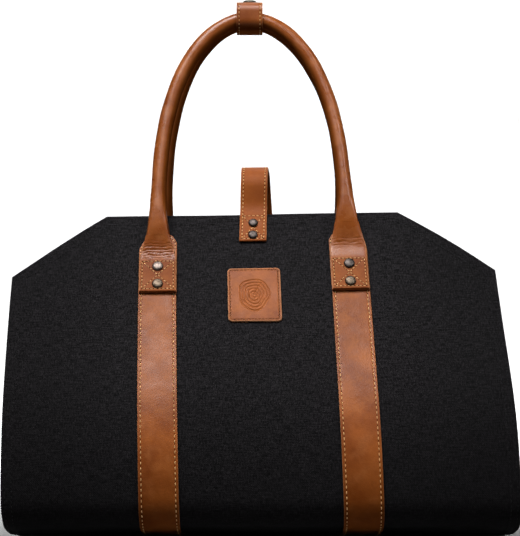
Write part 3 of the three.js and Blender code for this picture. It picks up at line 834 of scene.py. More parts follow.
def make_canvas():
    across, along, inside = canvas_grid()
    outer_step = HEM_STEP * smoothstep(HEM_WIDTH - 0.4 * MM, HEM_WIDTH + 0.6 * MM, inside)
    thin = CANVAS_THICKNESS - HEM_STEP - CLOTH_THIN
    inner_step = thin * smoothstep(HEM_WIDTH - 0.2 * MM, HEM_WIDTH + 0.3 * MM, inside)
    low, hanging = fold_and_dip(inside), hang(across, along)
    outer = on_sling(across, along, hanging - outer_step - low)
    inner = on_sling(across, along, hanging - CANVAS_THICKNESS + inner_step + low)
    quads, rim = grid_faces(*across.shape)
    walls = wall_faces(rim, rim + across.size)
    faces = np.concatenate([quads, quads[:, ::-1] + across.size, walls]).tolist()
    flow = np.stack([across, along], -1).reshape(-1, 2)
    cloth = add_mesh("canvas_cloth", np.stack([outer, inner]), faces, canvas, np.concatenate([flow, flow]))
    return finished(cloth, ["canvas_sling"])


def hem_corners(inset):
    """Corners of a stitch line at a distance inside the canvas's edge, on the front half."""
    half = CANVAS_WIDTH / 2
    normal_x, normal_s = CORNER_LENGTH / CORNER_SLOPE, CORNER_WIDTH / CORNER_SLOPE
    # Where the moved edges meet each other
    corner_s = CORNER_START + (inset * normal_x - inset) / normal_s
    top_x = half - CORNER_WIDTH + (inset * normal_s - inset) / normal_x
    return half - inset, corner_s, top_x, HALF_LENGTH - inset


def on_cloth(across, along, rise):
    return on_sling(across, along, rise + hang(across, along))


def hem_paths():
    seams = []
    for inset in HEM_LINES:
        side_x, corner_s, top_x, top_s = hem_corners(inset)
        for side in (-1, 1):
            low, high = (side * side_x, corner_s), (side * top_x, top_s)
            seams.append([(high[0], -top_s), (low[0], -corner_s), low, high])
    _, _, top_x, top_s = hem_corners(TOP_HEM_LINE)
    seams += [[(-top_x, front * top_s), (top_x, front * top_s)] for front in (-1, 1)]
    paths = []
    for face_rise, outward in ((-STITCH_DIP, 1), (-CANVAS_THICKNESS + STITCH_DIP, -1)):
        for seam in seams:
            points, normals = line_on(on_cloth, seam, face_rise, 2.0 * MM)
            paths.append((points, normals * outward))
    return paths


canvas_cloth = make_canvas()
hem_thread = stitches(
    "hem_stitches", hem_paths(), HEM_PITCH, thread_black, 0.33 * MM, sink=0.02 * MM, slot="canvas"
)

# Leather straps
STRAP_PITCH = 5.07 * MM
STRAP_ROWS = 330
STRAP_STRAY = 0.5 * MM
STRAY_FROM_MIDDLE = (60 * MM, 160 * MM)
BOTTOM_SHADE = (265 * MM, 180 * MM)
TOP_SHADE = (320 * MM, 400 * MM)
STITCHES_UNDER_TAB = 6 * MM
TAB_END = HALF_LENGTH - BASE_END_DROP
SHOULDER = HALF_LENGTH - BASE_SHOULDER_DROP
NECK = SHOULDER + BASE_SHOULDER_LENGTH


def painted_strap_shade(along):
    """Painted shade round the bottom, and a little towards the handle ends."""
    reach = np.abs(along)
    return 0.55 * smoothstep(*BOTTOM_SHADE, reach) + 0.14 * smoothstep(*TOP_SHADE, reach)


def make_strap(name, side):
    """One strap, which strays a little from its line, and the paths of its stitches."""
    def wobble(rows):
        return STRAP_STRAY * np.sin(rows * 14 + side * 1.3) * smoothstep(*STRAY_FROM_MIDDLE, np.abs(rows))

    end = HALF_LENGTH - STRAP_END_DROP
    band(
        f"leather_strap_{name}", f"strap_{name}", on_sling, np.linspace(-end, end, STRAP_ROWS),
        (STRAP_WIDTH, STRAP_THICKNESS), leather_strap, middle_rise=STRAP_FACE - STRAP_THICKNESS / 2,
        centre=side * HALF_SPACING, wobble=wobble, shade_at=painted_strap_shade,
    )
    shown = TAB_END + STITCHES_UNDER_TAB
    run = np.linspace(-shown, shown, 700)
    middle = side * HALF_SPACING + wobble(run)
    reach = STRAP_WIDTH / 2 - GROOVE_INSET
    return [path_on(on_sling, middle + edge * reach, run, STRAP_FACE - GROOVE_DEPTH) for edge in (-1, 1)]


strap_paths = [path for name, side in SIDES.items() for path in make_strap(name, side)]
# Under the bottom the thread lies in its groove, so that the leather and not the thread meets the floor
sew("strap", strap_paths, STRAP_PITCH, THREAD_RADIUS, sink=0.12 * MM)

# Shouldered layers under the handle ends
BASE_ROWS = 24
NECK_ROWS = 8
NECK_CURVE = 1.3
HANDLE_ENDS = [(face_name, side_name) for face_name in FACES for side_name in SIDES]


def make_base(face_name, side_name):
    front, side = FACES[face_name], SIDES[side_name]
    straight = np.linspace(TAB_END, SHOULDER, BASE_ROWS)
    rows = np.concatenate([straight, np.linspace(SHOULDER, NECK, NECK_ROWS)[1:]])

    def width_at(along):
        share = np.clip((np.abs(along) - SHOULDER) / BASE_SHOULDER_LENGTH, 0, 1)
        return STRAP_WIDTH + (BASE_NECK_WIDTH - STRAP_WIDTH) * share ** NECK_CURVE

    def slanted(across, along, rise):
        raised = -side * (across - side * HALF_SPACING) / (STRAP_WIDTH / 2) * BASE_SLANT
        share = np.clip((np.abs(along) - TAB_END) / (SHOULDER - TAB_END), 0, 1)
        return on_sling(across, along + front * raised * share, rise)

    name = f"{face_name}_{side_name}"
    band(
        f"leather_base_{name}", f"handle_base_{name}", slanted, np.sort(rows * front),
        (STRAP_WIDTH, BASE_THICKNESS), leather_strap, middle_rise=BASE_FACE - BASE_THICKNESS / 2,
        centre=side * HALF_SPACING, width_at=width_at,
    )


for handle_end in HANDLE_ENDS:
    make_base(*handle_end)

# Rolled handles
# Along the gather: shares of its length, of the way to the tube's width and of the way to its thickness
GATHER_TABLE = [
    {"along": 0, "narrow": 0, "plump": 0},
    {"along": 0.1, "narrow": 0.2, "plump": 0.03},
    {"along": 0.26, "narrow": 0.48, "plump": 0.2},
    {"along": 0.4, "narrow": 0.67, "plump": 0.42},
    {"along": 0.58, "narrow": 0.84, "plump": 0.7},
    {"along": 0.72, "narrow": 0.94, "plump": 0.87},
    {"along": 1, "narrow": 1, "plump": 1},
]
TAB_LENGTH = BASE_END_DROP - HANDLE_GATHER_DROP
RIGHT_GATHER_DELAY = 11 * MM
HANDLE_SIDES = 44
HANDLE_LINE_STEP = 0.5 * MM
LINE_BLEND = 14
GATHER_BLEND = 10
HANDLE_END_ROWS = np.array([0, 0.2, 0.6]) * MM
FINE_START = 1.2 * MM
FINE_END = 84 * MM
FINE_STEP = 0.7 * MM
COARSE_STEP = 2.4 * MM
ROLLED_FROM = 0.3
RIDGE_HEIGHT = 0.55 * MM
RIDGE_MIDDLE = TAB_LENGTH + 20 * MM
RIDGE_REACH = 15 * MM
TUBE_FROM_END = (TAB_LENGTH + 30 * MM, TAB_LENGTH + 55 * MM)
THREAD_FROM_END = TAB_LENGTH + 42 * MM
SEAM_ANGLE = 1.5 * math.pi
SEAM_DEPTH = 0.5 * MM
SEAM_PITCH = 4.4 * MM
# Painted shade and dullness of the handle ends, by the distance from a tab's lower end
HOLLOW_FROM_END = 64 * MM
HOLLOW_REACH = 9 * MM
TAB_PAINTED_SHADE = (42 * MM, 34 * MM)
TAB_DULL = (42 * MM, 35 * MM)
GATHER_DULL = (80 * MM, 45 * MM)
DARKEST_CREASE = 0.28 * MM
# Creases across each handle end: where they start from the tab's lower end, how many, and how deep
CREASES = {
    "left": {
        "start": 40.5 * MM, "count": 6, "pitch": 3.2 * MM, "depth": 0.85 * MM, "wave": 0.6, "turn": 0.7,
    },
    "right": {
        "start": 52 * MM, "count": 3, "pitch": 3.9 * MM, "depth": 0.42 * MM, "wave": 0.9, "turn": 2.6,
    },
}


def arch_line(front, count=1600):
    """Middle line of a handle's arch, from its left gather to its right one."""
    angle = np.linspace(0, math.pi, count)
    reach = powered(np.cos(angle), 2 / HANDLE_CROWN_FULLNESS)
    rise = np.maximum(0, np.sin(angle)) ** (2 / HANDLE_LEG_FULLNESS)
    shift = 0 if front > 0 else BACK_HANDLE_SHIFT * np.sin(math.pi * rise)
    depth = APEX_DEPTH + (-GATHER[1] - APEX_DEPTH) * (1 - rise) ** HANDLE_LEAN_CURVE
    height = GATHER[2] + rise * HANDLE_RISE
    return np.stack([shift - reach * (HALF_SPACING + shift), -front * depth, height], -1)


def smoothed(values, reach):
    """A moving average that leaves the two ends where they are."""
    kernel = np.hanning(2 * reach + 3)[1:-1]
    kernel /= kernel.sum()
    before = 2 * values[:1] - values[reach:0:-1]
    after = 2 * values[-1:] - values[-2:-reach - 2:-1]
    padded = np.concatenate([before, values, after])
    return np.stack([np.convolve(column, kernel, "valid") for column in padded.T], -1)


def handle_line(front):
    """Middle line of a handle in even steps, tabs included, and the distance along it."""
    tab_rows = np.linspace(TAB_END, HALF_LENGTH - HANDLE_GATHER_DROP, 40) * front
    left, right = (sling(side * HALF_SPACING, tab_rows, HANDLE_END_MIDDLE) for side in (-1, 1))
    arch = arch_line(front)
    ease = smoothstep(0, 1, np.linspace(0, 1, len(arch))[:, None])
    arch = arch + (left[-1] - arch[0]) * (1 - ease) + (right[-1] - arch[-1]) * ease
    line = np.concatenate([left[:-1], arch, right[::-1][1:]])
    run = run_along(line)
    even = np.linspace(0, run[-1], int(run[-1] / HANDLE_LINE_STEP))
    return smoothed(sampled(line, run, even), LINE_BLEND), even


def gather_shape(run, total):
    """Shares, along a handle, of its narrowing and its plumping from a flat tab to a round tube."""
    lead = np.where(run < total / 2, HANDLE_GATHER_LEAD, HANDLE_GATHER_LEAD - RIGHT_GATHER_DELAY)
    near = np.minimum(run, total - run) - TAB_LENGTH + lead
    table = np.array([[row["along"], row["narrow"], row["plump"]] for row in GATHER_TABLE])
    shares = sampled(table[:, 1:], table[:, 0], np.clip(near / HANDLE_GATHER_LENGTH, 0, 1))
    return np.clip(smoothed(shares, GATHER_BLEND), 0, 1)


def handle_rows(total):
    """Distances of the rings of points along a handle, close together over its creased ends."""
    fine = np.arange(FINE_START, FINE_END, FINE_STEP)
    half = np.concatenate([HANDLE_END_ROWS, fine, np.arange(FINE_END, total / 2, COARSE_STEP)])
    return np.sort(np.concatenate([half, total - half]))


def crease_depth(run, across, crease):
    """Compression creases across a handle end: sharp valleys between soft rolls."""
    middle = crease["start"] + crease["pitch"] * (crease["count"] - 1) / 2
    turn = crease["turn"]
    x, y = across / MM, run / MM
    wander = np.sin(x * 0.33 + turn) + 0.6 * np.sin(x * 0.74 + y * 0.35 + 3 * turn)
    wander = crease["wave"] * MM * (wander + 0.5 * np.sin(y * 0.9 + turn))
    roll = np.abs(np.sin(math.pi * (run + wander - crease["start"]) / crease["pitch"]))
    reach = crease["pitch"] * crease["count"] / 2
    window = np.exp(-(((run - middle) / reach) ** 4))
    sides = smoothstep(HANDLE_END_WIDTH / 2 - 0.5 * MM, HANDLE_END_WIDTH / 2 - 5 * MM, np.abs(across))
    broken = 0.65 + 0.35 * np.sin(x * 0.5 + y * 0.8 + turn)
    return crease["depth"] * (roll - 0.75) * window * sides * broken


def section_shares(plump, angle):
    """A handle's section as shares of its half sizes, from a flat end with corners to a round tube."""
    # Crowd the points of the flat end's section towards its corners
    power = 2 / (9 - 7 * np.sqrt(plump))
    roundness = plump ** 0.25
    flat = np.sign(np.sin(angle)) * (1 - np.abs(np.cos(angle)) ** 14) ** (1 / 6)
    wide = powered(np.cos(angle), power) * roundness + np.cos(angle) * (1 - roundness)
    return wide, powered(np.sin(angle), power) * roundness + flat * (1 - roundness)


def handle_relief(at, near, across, angle, front, left_half):
    """Creases, gather ridges, seam and lumps on a handle's face, and where it is a round tube."""
    left, right = (crease_depth(near, across, CREASES[side]) for side in SIDES)
    crease = np.where(left_half, left, right) * (np.sin(angle) > 0.05)
    # The front of the gather sinks between two soft ridges that run up into the tube
    zone = bell(near - RIDGE_MIDDLE, RIDGE_REACH) * (np.sin(angle) > 0)
    ridges = -RIDGE_HEIGHT * np.cos(6.2 * np.cos(angle)) * zone
    tube = smoothstep(*TUBE_FROM_END, near)
    # The seam runs along the hidden side, and hand-rolled leather isn't perfectly round
    seam = -SEAM_DEPTH * bell(angle - SEAM_ANGLE, 0.1)
    lumps = 0.12 * MM * np.sin(at * 130 + 2 * np.sin(angle))
    lumps = lumps + 0.1 * MM * np.sin(at * 57 + 3 * angle + front)
    return crease, ridges, (seam + lumps) * tube, tube


def handle_painted_shade_and_dullness(near, across, angle, front, crease, tube):
    """Painted shade and dullness: creases, the hollow of the gather, the underside and the tabs."""
    hollow = bell(near - HOLLOW_FROM_END, HOLLOW_REACH) * bell(across, HOLLOW_REACH) * (np.sin(angle) > 0)
    under = smoothstep(0.1, 0.9, front * np.cos(angle)) * tube
    shade = 0.62 * np.clip(-crease / DARKEST_CREASE, 0, 1) + 0.35 * hollow + 0.75 * under
    shade = shade + 0.12 * smoothstep(*TAB_PAINTED_SHADE, near)
    end_matt = 0.2 * smoothstep(*GATHER_DULL, near) + 0.8 * smoothstep(*TAB_DULL, near)
    return np.clip(shade, 0, 1), np.maximum(end_matt, 1.3 * under)


def make_handle(name, front):
    """A handle with its flat ends, and the line on its seam that the thread follows."""
    line, run = handle_line(front)
    total = run[-1]
    rows = handle_rows(total)
    tangent = unit(np.gradient(line, axis=0))
    outward = np.array([0, -front, 0.0])
    thick = unit(outward - tangent * (tangent @ outward)[:, None])
    across_line = np.cross(tangent, thick)
    centre, thick, wide = (sampled(values, run, rows) for values in (line, thick, across_line))
    narrow, plump = np.split(sampled(gather_shape(run, total), run, rows), 2, axis=1)
    half_width = (HANDLE_END_WIDTH + (HANDLE_DIAMETER - HANDLE_END_WIDTH) * narrow) / 2
    half_thick = (HANDLE_END_THICKNESS + (HANDLE_DIAMETER - HANDLE_END_THICKNESS) * plump) / 2

    at = rows[:, None]
    near = np.minimum(at, total - at)
    angle = round_angles(HANDLE_SIDES, 0.5)
    wide_share, thick_share = section_shares(plump, angle)
    across = wide_share * half_width
    crease, ridges, rest, tube = handle_relief(at, near, across, angle, front, at < total / 2)
    rolled = plump > ROLLED_FROM
    swelling = (crease + ridges + rest) / np.maximum(half_thick, TUBE_RADIUS / 2) * plump ** 0.5
    bulge = np.where(rolled, 1 + swelling, 1)
    squeeze = np.where(near < EDGE_ROUND, 1 - 0.4 * (1 - near / EDGE_ROUND) ** 2, 1)
    lift = (half_thick - HANDLE_END_THICKNESS / 2) * (1 - plump)
    rise = thick_share * half_thick * squeeze * bulge + np.where(rolled, 0, crease + ridges) + lift
    points = centre[:, None] + wide[:, None] * (across * bulge)[..., None] + thick[:, None] * rise[..., None]
    points = settle(points)

    edge = smoothstep(half_width - 1.2 * MM, half_width, np.abs(across))
    edge = edge * np.clip(1 - plump / 0.25, 0, 1) * smoothstep(0, 1.5 * MM, near)
    shade, matt = handle_painted_shade_and_dullness(near, across, angle, front, crease, tube)
    handle = add_mesh(
        f"rolled_handle_{name}", points, ring_faces(*across.shape), leather_handle,
        edge=edge, shade=shade, matt=matt,
    )
    finished(handle, [f"handle_{name}"])
    sewn = near[:, 0] > THREAD_FROM_END
    return points[sewn, np.argmin(np.abs(angle - SEAM_ANGLE))], -thick[sewn]


seam_paths = [make_handle(face_name, front) for face_name, front in FACES.items()]
stitches("handle_seam_stitches", seam_paths, SEAM_PITCH, thread_ochre, slant=0.5, sink=-0.25 * MM)

# Stitching of the handle ends
TRIM_PITCH = 4.2 * MM
TRIM_LIFT = 0.05 * MM
END_STITCH_INSET = 2.6 * MM
BOX_TOP_FROM_END = 36 * MM
BOX_HALF_WIDTH = STRAP_WIDTH / 2 - 3.2 * MM


def crossed(left, right, low, high, inset):
    """The two diagonals of a stitched box."""
    left, right, low, high = left + inset, right - inset, low + inset, high - inset
    return [[(left, low), (right, high)], [(right, low), (left, high)]]


def tab_paths(front, side):
    """A crossed box on the handle's flat end, and a line up each edge of the layer beneath."""
    centre = side * HALF_SPACING

    def on_end(across, along, rise):
        return settle(sling_raw(across, along, rise + relief(centre, along)))

    low, high = TAB_END + END_STITCH_INSET, TAB_END + BOX_TOP_FROM_END
    left, right = centre - BOX_HALF_WIDTH, centre + BOX_HALF_WIDTH
    box = [[(x, low), (x, high)] for x in (left, right)]
    box += [[(left, s), (right, s)] for s in (low, high)]
    box += crossed(left, right, low, high, 1.5 * MM)
    laid = [(on_end, outline, HANDLE_END_FACE + TRIM_LIFT) for outline in box]
    for edge in (-1, 1):
        outer = centre + edge * (STRAP_WIDTH / 2 - 1.5 * MM)
        neck = centre + edge * (BASE_NECK_WIDTH / 2 - MM)
        slant = -side * edge * BASE_SLANT
        climb = [(centre + edge * BOX_HALF_WIDTH, high), (outer, SHOULDER - 3 * MM + slant)]
        climb += [(outer, SHOULDER + slant), (neck, NECK - 3 * MM + slant)]
        laid.append((on_sling, climb, BASE_FACE))
    return [line_on(surface, [(x, s * front) for x, s in line], rise) for surface, line, rise in laid]


all_tab_paths = [path for face, side in HANDLE_ENDS for path in tab_paths(FACES[face], SIDES[side])]
sew("tab", all_tab_paths, TRIM_PITCH, 0.4 * MM)

# Closing strap
CLOSING_ROWS = 120


def edge_paths(surface, half, run, rise):
    """A line along each edge of a band."""
    return [path_on(surface, np.full_like(run, edge * half), run, rise) for edge in (-1, 1)]


def make_closing_strap():
    rows = np.linspace(-CLOSING_HALF_LENGTH, CLOSING_HALF_LENGTH, CLOSING_ROWS)
    size = (CLOSING_WIDTH, CLOSING_THICKNESS)
    band("leather_closing_strap", "closing_strap", on_closing, rows, size, leather_closing)
    half = CLOSING_WIDTH / 2 - GROOVE_INSET
    face = CLOSING_THICKNESS / 2
    end = CLOSING_HALF_LENGTH - END_STITCH_INSET
    top = CLOSING_HALF_LENGTH - CLOSING_END_DROP + 4 * MM
    crossings = [[(-half, s), (half, s)] for s in (end, top)]
    crossings += crossed(-half, half, top, end, MM)
    crossings.append([(-half, -end), (half, -end)])
    paths = edge_paths(on_closing, half, np.linspace(-end, end, 260), face - GROOVE_DEPTH)
    paths += [line_on(on_closing, crossing, face) for crossing in crossings]
    sew("closing_strap", paths, TRIM_PITCH, 0.46 * MM)


make_closing_strap()

# Keeper round both handles
KEEPER_ROWS = 150
KEEPER_UNDER = KEEPER_FLAT + KEEPER_BEND[0] + KEEPER_HEADROOM + KEEPER_BEND[0] + APEX_DEPTH


def keeper_shade(along):
    """Painted shade underneath, between the two bottom bends."""
    reach = np.abs(along - KEEPER_UNDER) - APEX_DEPTH
    return 0.75 * smoothstep(0.9 * KEEPER_BEND[0], 0.3 * KEEPER_BEND[0], reach)


def make_keeper():
    rows = np.linspace(0, KEEPER_LENGTH, KEEPER_ROWS)
    size = (KEEPER_WIDTH, KEEPER_THICKNESS)
    band("leather_keeper", "keeper_band", on_keeper, rows, size, leather_keeper, shade_at=keeper_shade)
    half = KEEPER_WIDTH / 2 - GROOVE_INSET
    face = KEEPER_THICKNESS / 2
    end = KEEPER_LENGTH - END_STITCH_INSET
    paths = edge_paths(on_keeper, half, np.linspace(KEEPER_OVERLAP, end, 300), face - GROOVE_DEPTH)
    paths.append(line_on(on_keeper, [(-half, end), (half, end)], face))
    sew("keeper", paths, TRIM_PITCH, 0.36 * MM, 0.42 * MM)


make_keeper()

# Patch with a pressed ring figure, like the end of a log
PATCH_STEP = 0.45 * MM
PATCH_PITCH = 3.5 * MM
PATCH_STITCH_INSET = 2.4 * MM
PATCH_SINK = 0.2 * MM
PATCH_TOP = HALF_LENGTH - PATCH_DROP
PATCH_BOTTOM = PATCH_TOP - PATCH_LENGTH
PATCH_MIDDLE = (PATCH_TOP + PATCH_BOTTOM) / 2
RINGS = {"count": 5, "width": 15 * MM, "height": 18.5 * MM, "depth": 0.7 * MM, "line": 0.62 * MM}
SPLIT_ANGLE = 1.1
SPLIT_REACH = 0.92
HEART_RADIUS = 0.07


def patch_press(x, y):
    """Depth of the pressed rings, split and heart at a point measured from the patch's middle."""
    angle = np.arctan2(y, x)
    wander = 1 + 0.045 * np.sin(3 * angle + 0.6) + 0.03 * np.sin(5 * angle + 2.0)
    radius = np.hypot(x / RINGS["width"], y / RINGS["height"]) / wander
    spacing = 1 / RINGS["count"]
    nearest = np.abs(radius - np.clip(np.round(radius / spacing), 1, RINGS["count"]) * spacing)
    line = RINGS["line"] / RINGS["width"]
    rings = np.exp(-((nearest / line) ** 2) * 1.4)
    turned_by = angle - SPLIT_ANGLE
    split = np.exp(-((np.abs(np.sin(turned_by)) * radius / line) ** 2) * 2)
    split = split * (radius < SPLIT_REACH) * (np.cos(turned_by) > 0)
    return RINGS["depth"] * np.clip(rings + split + bell(radius, HEART_RADIUS), 0, 1)


def patch_grid():
    """Places across and along the patch, and their distance inside its rounded outline."""
    rows, columns = (int(size / PATCH_STEP) + 1 for size in (PATCH_LENGTH, PATCH_WIDTH))
    along = np.linspace(PATCH_BOTTOM, PATCH_TOP, rows)[:, None]
    edge_s = np.minimum(along - PATCH_BOTTOM, PATCH_TOP - along)
    corner_s = np.maximum(0, PATCH_CORNER_RADIUS - edge_s)
    straight = PATCH_WIDTH / 2 - PATCH_CORNER_RADIUS
    half = straight + np.sqrt(np.maximum(0, PATCH_CORNER_RADIUS**2 - corner_s**2))
    across = half * np.linspace(-1, 1, columns)
    corner_x = np.maximum(0, np.abs(across) - straight)
    from_arc = PATCH_CORNER_RADIUS - np.hypot(corner_x, corner_s)
    from_edge = np.minimum(half - np.abs(across), edge_s)
    inside = np.where((corner_x > 0) & (corner_s > 0), from_arc, from_edge)
    return across, np.broadcast_to(along, across.shape), np.maximum(0, inside)


def patch_outline():
    """The stitch line inside the patch's edge, round its four corners."""
    radius = PATCH_CORNER_RADIUS - PATCH_STITCH_INSET
    outline = []
    for corner, (x_sign, s_sign) in enumerate([(1, 1), (-1, 1), (-1, -1), (1, -1)]):
        middle_x = x_sign * (PATCH_WIDTH / 2 - PATCH_CORNER_RADIUS)
        middle_s = PATCH_MIDDLE + s_sign * (PATCH_LENGTH / 2 - PATCH_CORNER_RADIUS)
        for step in range(5):
            angle = math.pi / 2 * (corner + step / 4)
            outline.append((middle_x + radius * math.cos(angle), middle_s + radius * math.sin(angle)))
    return [*outline, outline[0]]


def make_patch():
    across, along, inside = patch_grid()
    lowered = rounded_off(inside, EDGE_ROUND) + groove(inside - PATCH_STITCH_INSET)
    face = SEAT_GAP + PATCH_THICKNESS - lowered - patch_press(across, along - PATCH_MIDDLE)
    quads, rim = grid_faces(*across.shape)
    lower_rim = across.size + np.arange(len(rim))
    outer = on_sling(across, along, face).reshape(-1, 3)
    lower = on_sling(across, along, -PATCH_SINK).reshape(-1, 3)[rim]
    faces = quads.tolist() + wall_faces(rim, lower_rim).tolist() + [lower_rim[::-1].tolist()]
    edge = smoothstep(1.7 * MM, 0.3 * MM, inside).ravel()
    badge = add_mesh(
        "leather_patch_pressed", np.concatenate([outer, lower]), faces, leather_patch,
        edge=np.concatenate([edge, np.ones(len(rim))]),
    )
    finished(badge, ["patch"])
    path = line_on(on_sling, patch_outline(), SEAT_GAP + PATCH_THICKNESS - GROOVE_DEPTH)
    sew("patch", [path], PATCH_PITCH, 0.34 * MM, 0.78 * MM, thread_brown)


make_patch()

# Turned hardware: radius and height of each ring, as shares of the radius and height of its end
HEAD_PROFILE = [
    (0.90, 0.0), (0.985, 0.08), (1.0, 0.24), (0.99, 0.42), (0.95, 0.58), (0.88, 0.72),
    (0.76, 0.84), (0.58, 0.92), (0.36, 0.97), (0.12, 0.99),
]
CAP_PROFILE = [(0.3, 1.0), (0.75, 0.95), (0.97, 0.55), (1.0, 0.25), (0.95, 0.0)]
LATHE_SIDES = 40
RIVET = {
    "head_diameter": 11 * MM, "head_height": 2.6 * MM,
    "cap_diameter": 9 * MM, "cap_height": 1.6 * MM, "shank": 1.8 * MM,
}
CLOSING_RIVET = {**RIVET, "head_diameter": 9.8 * MM}
SNAP = {
    "head_diameter": 15.5 * MM, "head_height": 4.4 * MM,
    "cap_diameter": 10 * MM, "cap_height": 3 * MM, "shank": 2 * MM,
}
INNER_SEAT = -CANVAS_THICKNESS - TRIM_LIFT
# Each front tab rivet takes its own copy of the nickel: painted highlight, painted reflection, and painted
# shade in the gunmetal copy on the right upper one
TAB_RIVET_PAINTED_LIGHT = {
    "front_left_upper": nickel_painted_highlight,
    "front_left_lower": nickel_painted_reflection,
    "front_right_upper": gunmetal,
    "front_right_lower": nickel_painted_reflection,
}


def seat_on(surface, across, along, rise):
    """Point, outward normal and the two directions across it."""
    point = surface(across, along, rise)
    normal = unit(surface(across, along, rise + MM) - point)
    side = unit(np.cross(surface(across, along + MM, rise) - point, normal))
    return point, normal, side, np.cross(normal, side)


def fastener(name, replaced, seat, face, size, material, inner=INNER_SEAT):
    """A rivet or snap turned round its seat: inner cap, shank and domed head."""
    cap, head = size["cap_diameter"] / 2, size["head_diameter"] / 2
    profile = [(cap * share, inner - size["cap_height"] * down) for share, down in CAP_PROFILE]
    profile += [(size["shank"], inner), (size["shank"], face)]
    profile += [(head * share, face + size["head_height"] * up) for share, up in HEAD_PROFILE]
    point, normal, side, ahead = seat
    angle = round_angles(LATHE_SIDES)[:, None]
    spoke = side * np.cos(angle) + ahead * np.sin(angle)
    rings = np.stack([point + spoke * radius + normal * height for radius, height in profile])
    piece = add_mesh(name, rings, ring_faces(len(rings), LATHE_SIDES), material)
    finished(piece, [replaced])


for face_name, side_name in HANDLE_ENDS:
    for level, from_end in RIVET_FROM_END.items():
        label = f"{face_name}_{side_name}_{level}"
        along = FACES[face_name] * (TAB_END + from_end)
        seat = seat_on(on_sling, SIDES[side_name] * HALF_SPACING, along, 0.0)
        metal = TAB_RIVET_PAINTED_LIGHT.get(label, nickel)
        fastener(f"domed_rivet_{label}", f"rivet_{label}", seat, HANDLE_END_FACE + TRIM_LIFT, RIVET, metal)

MIDDLE_TO_CANVAS = -CLOSING_THICKNESS / 2 - SEAT_GAP
CLOSING_HEAD_FACE = CLOSING_FACE + TRIM_LIFT
for level, from_end in CLOSING_RIVET_FROM_END.items():
    label = f"closing_rivet_{level}"
    seat = seat_on(on_closing, 0.0, CLOSING_HALF_LENGTH - from_end, MIDDLE_TO_CANVAS)
    fastener(f"domed_{label}", label, seat, CLOSING_HEAD_FACE, CLOSING_RIVET, gunmetal)

seat = seat_on(on_closing, 0.0, CLOSING_SNAP_FROM_END - CLOSING_HALF_LENGTH, MIDDLE_TO_CANVAS)
fastener("closing_snap_cap", "closing_snap", seat, CLOSING_HEAD_FACE, SNAP, nickel)

seat = seat_on(on_keeper, 0.0, KEEPER_LENGTH - KEEPER_OVERLAP / 2, -KEEPER_THICKNESS * 1.5 - SEAT_GAP)
keeper_face = 2 * KEEPER_THICKNESS + SEAT_GAP + TRIM_LIFT
fastener("keeper_snap_cap", "keeper_snap", seat, keeper_face, SNAP, nickel, inner=-TRIM_LIFT)

# Studio: a pale sweep, soft lights and the photograph's low viewing angle
SWEEP_FRONT = -1.2
SWEEP_BACK = 2.6
SWEEP_RADIUS = 0.9
SWEEP_HEIGHT = 2.4
SWEEP_HALF_WIDTH = 1.5
SWEEP_STEPS = 12
ROOM_LIGHT = 0.035
ROOM_SEEN = 0.5


def studio_material():
    material, tree, shader, place = new_material("studio_pale")
    tone = noise(tree, place, 3.0)
    colour = mixed(tree, tone, (0.22, 0.22, 0.22, 1), (0.24, 0.24, 0.24, 1))
    feed(tree, shader, {"Base Color": colour, "Roughness": 0.9})
    return material


def make_sweep():
    profile = [(SWEEP_FRONT, 0.0), (SWEEP_BACK - SWEEP_RADIUS, 0.0)]
    for step in range(1, SWEEP_STEPS + 1):
        angle = math.pi / 2 * step / SWEEP_STEPS
        y = SWEEP_BACK - SWEEP_RADIUS + SWEEP_RADIUS * math.sin(angle)
        profile.append((y, SWEEP_RADIUS - SWEEP_RADIUS * math.cos(angle)))
    profile.append((SWEEP_BACK, SWEEP_HEIGHT))
    points = [(side * SWEEP_HALF_WIDTH, y, z) for y, z in profile for side in (-1, 1)]
    faces = [[2 * i, 2 * i + 1, 2 * i + 3, 2 * i + 2] for i in range(len(profile) - 1)]
    mesh = bpy.data.meshes.new("studio_sweep")
    mesh.from_pydata(points, [], faces)
    mesh.polygons.foreach_set("use_smooth", [True] * len(mesh.polygons))
    mesh.materials.append(studio_material())
    sweep = bpy.data.objects.new("studio_sweep", mesh)
    bpy.context.scene.collection.objects.link(sweep)


def area_light(name, place, target, size, power, spread=180):
    light = bpy.data.lights.new(name, "AREA")
    light.shape = "RECTANGLE"
    light.size, light.size_y = size
    light.energy = power
    light.spread = math.radians(spread)
    obj = bpy.data.objects.new(name, light)
    obj.location = place
    obj.rotation_euler = (Vector(target) - Vector(place)).to_track_quat("-Z", "Y").to_euler()
    bpy.context.scene.collection.objects.link(obj)


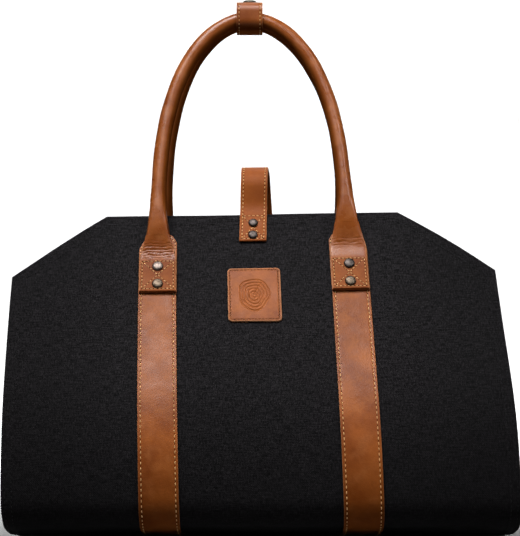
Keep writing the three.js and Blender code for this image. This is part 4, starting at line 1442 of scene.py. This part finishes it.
def make_lights():
    area_light("key", (-0.42, -1.05, 2.35), (0, 0, 0.22), (1.3, 0.9), 11.6, 58)
    area_light("fill_left", (-2.0, -1.2, 1.6), (0, 0, 0.4), (0.5, 1.2), 2.5)
    area_light("fill_right", (1.3, -1.3, 1.9), (0.09, 0, 0.46), (0.22, 0.9), 1.15, 40)
    area_light("crown", (0.05, -1.7, 1.75), (0, 0, 0.56), (0.9, 0.25), 0.14, 26)
    area_light("sweep_wash", (0, 1.5, 2.3), (0, 2.45, 0.7), (2.8, 0.4), 118, 100)
    area_light("floor_wash", (0, 1.7, 2.4), (0, 1.25, 0), (2.8, 0.5), 60, 62)


def make_room():
    """The room shows pale past the sweep, but gives the part only a little light."""
    world = bpy.data.worlds.new("studio")
    world.use_nodes = True
    tree = world.node_tree
    seen = node(tree, "LightPath", {}).outputs["Is Camera Ray"]
    strength = ramped(tree, seen, 0.0, 1.0, ROOM_LIGHT, ROOM_SEEN)
    feed(tree, tree.nodes["Background"], {"Color": (1, 1, 1, 1), "Strength": strength})
    bpy.context.scene.world = world


# The camera stands low and close, looking a little up
CAMERA_X = 2.2 * MM
CAMERA_DISTANCE = 1.6
CAMERA_HEIGHT = 0.15
AIM_HEIGHT = 0.2762
FOCAL_PIXELS = 1500
FRAME_PIXELS = 520
SENSOR_WIDTH = 36


def make_camera():
    data = bpy.data.cameras.new("camera")
    data.sensor_fit = "HORIZONTAL"
    data.sensor_width = SENSOR_WIDTH
    data.lens = SENSOR_WIDTH * FOCAL_PIXELS / FRAME_PIXELS
    camera = bpy.data.objects.new("camera", data)
    camera.location = (CAMERA_X, -CAMERA_DISTANCE, CAMERA_HEIGHT)
    aim = Vector((CAMERA_X, 0, AIM_HEIGHT)) - camera.location
    camera.rotation_euler = aim.to_track_quat("-Z", "Y").to_euler()
    bpy.context.scene.collection.objects.link(camera)
    bpy.context.scene.camera = camera


make_sweep()
make_lights()
make_room()
make_camera()
bpy.context.scene.view_settings.view_transform = "Standard"
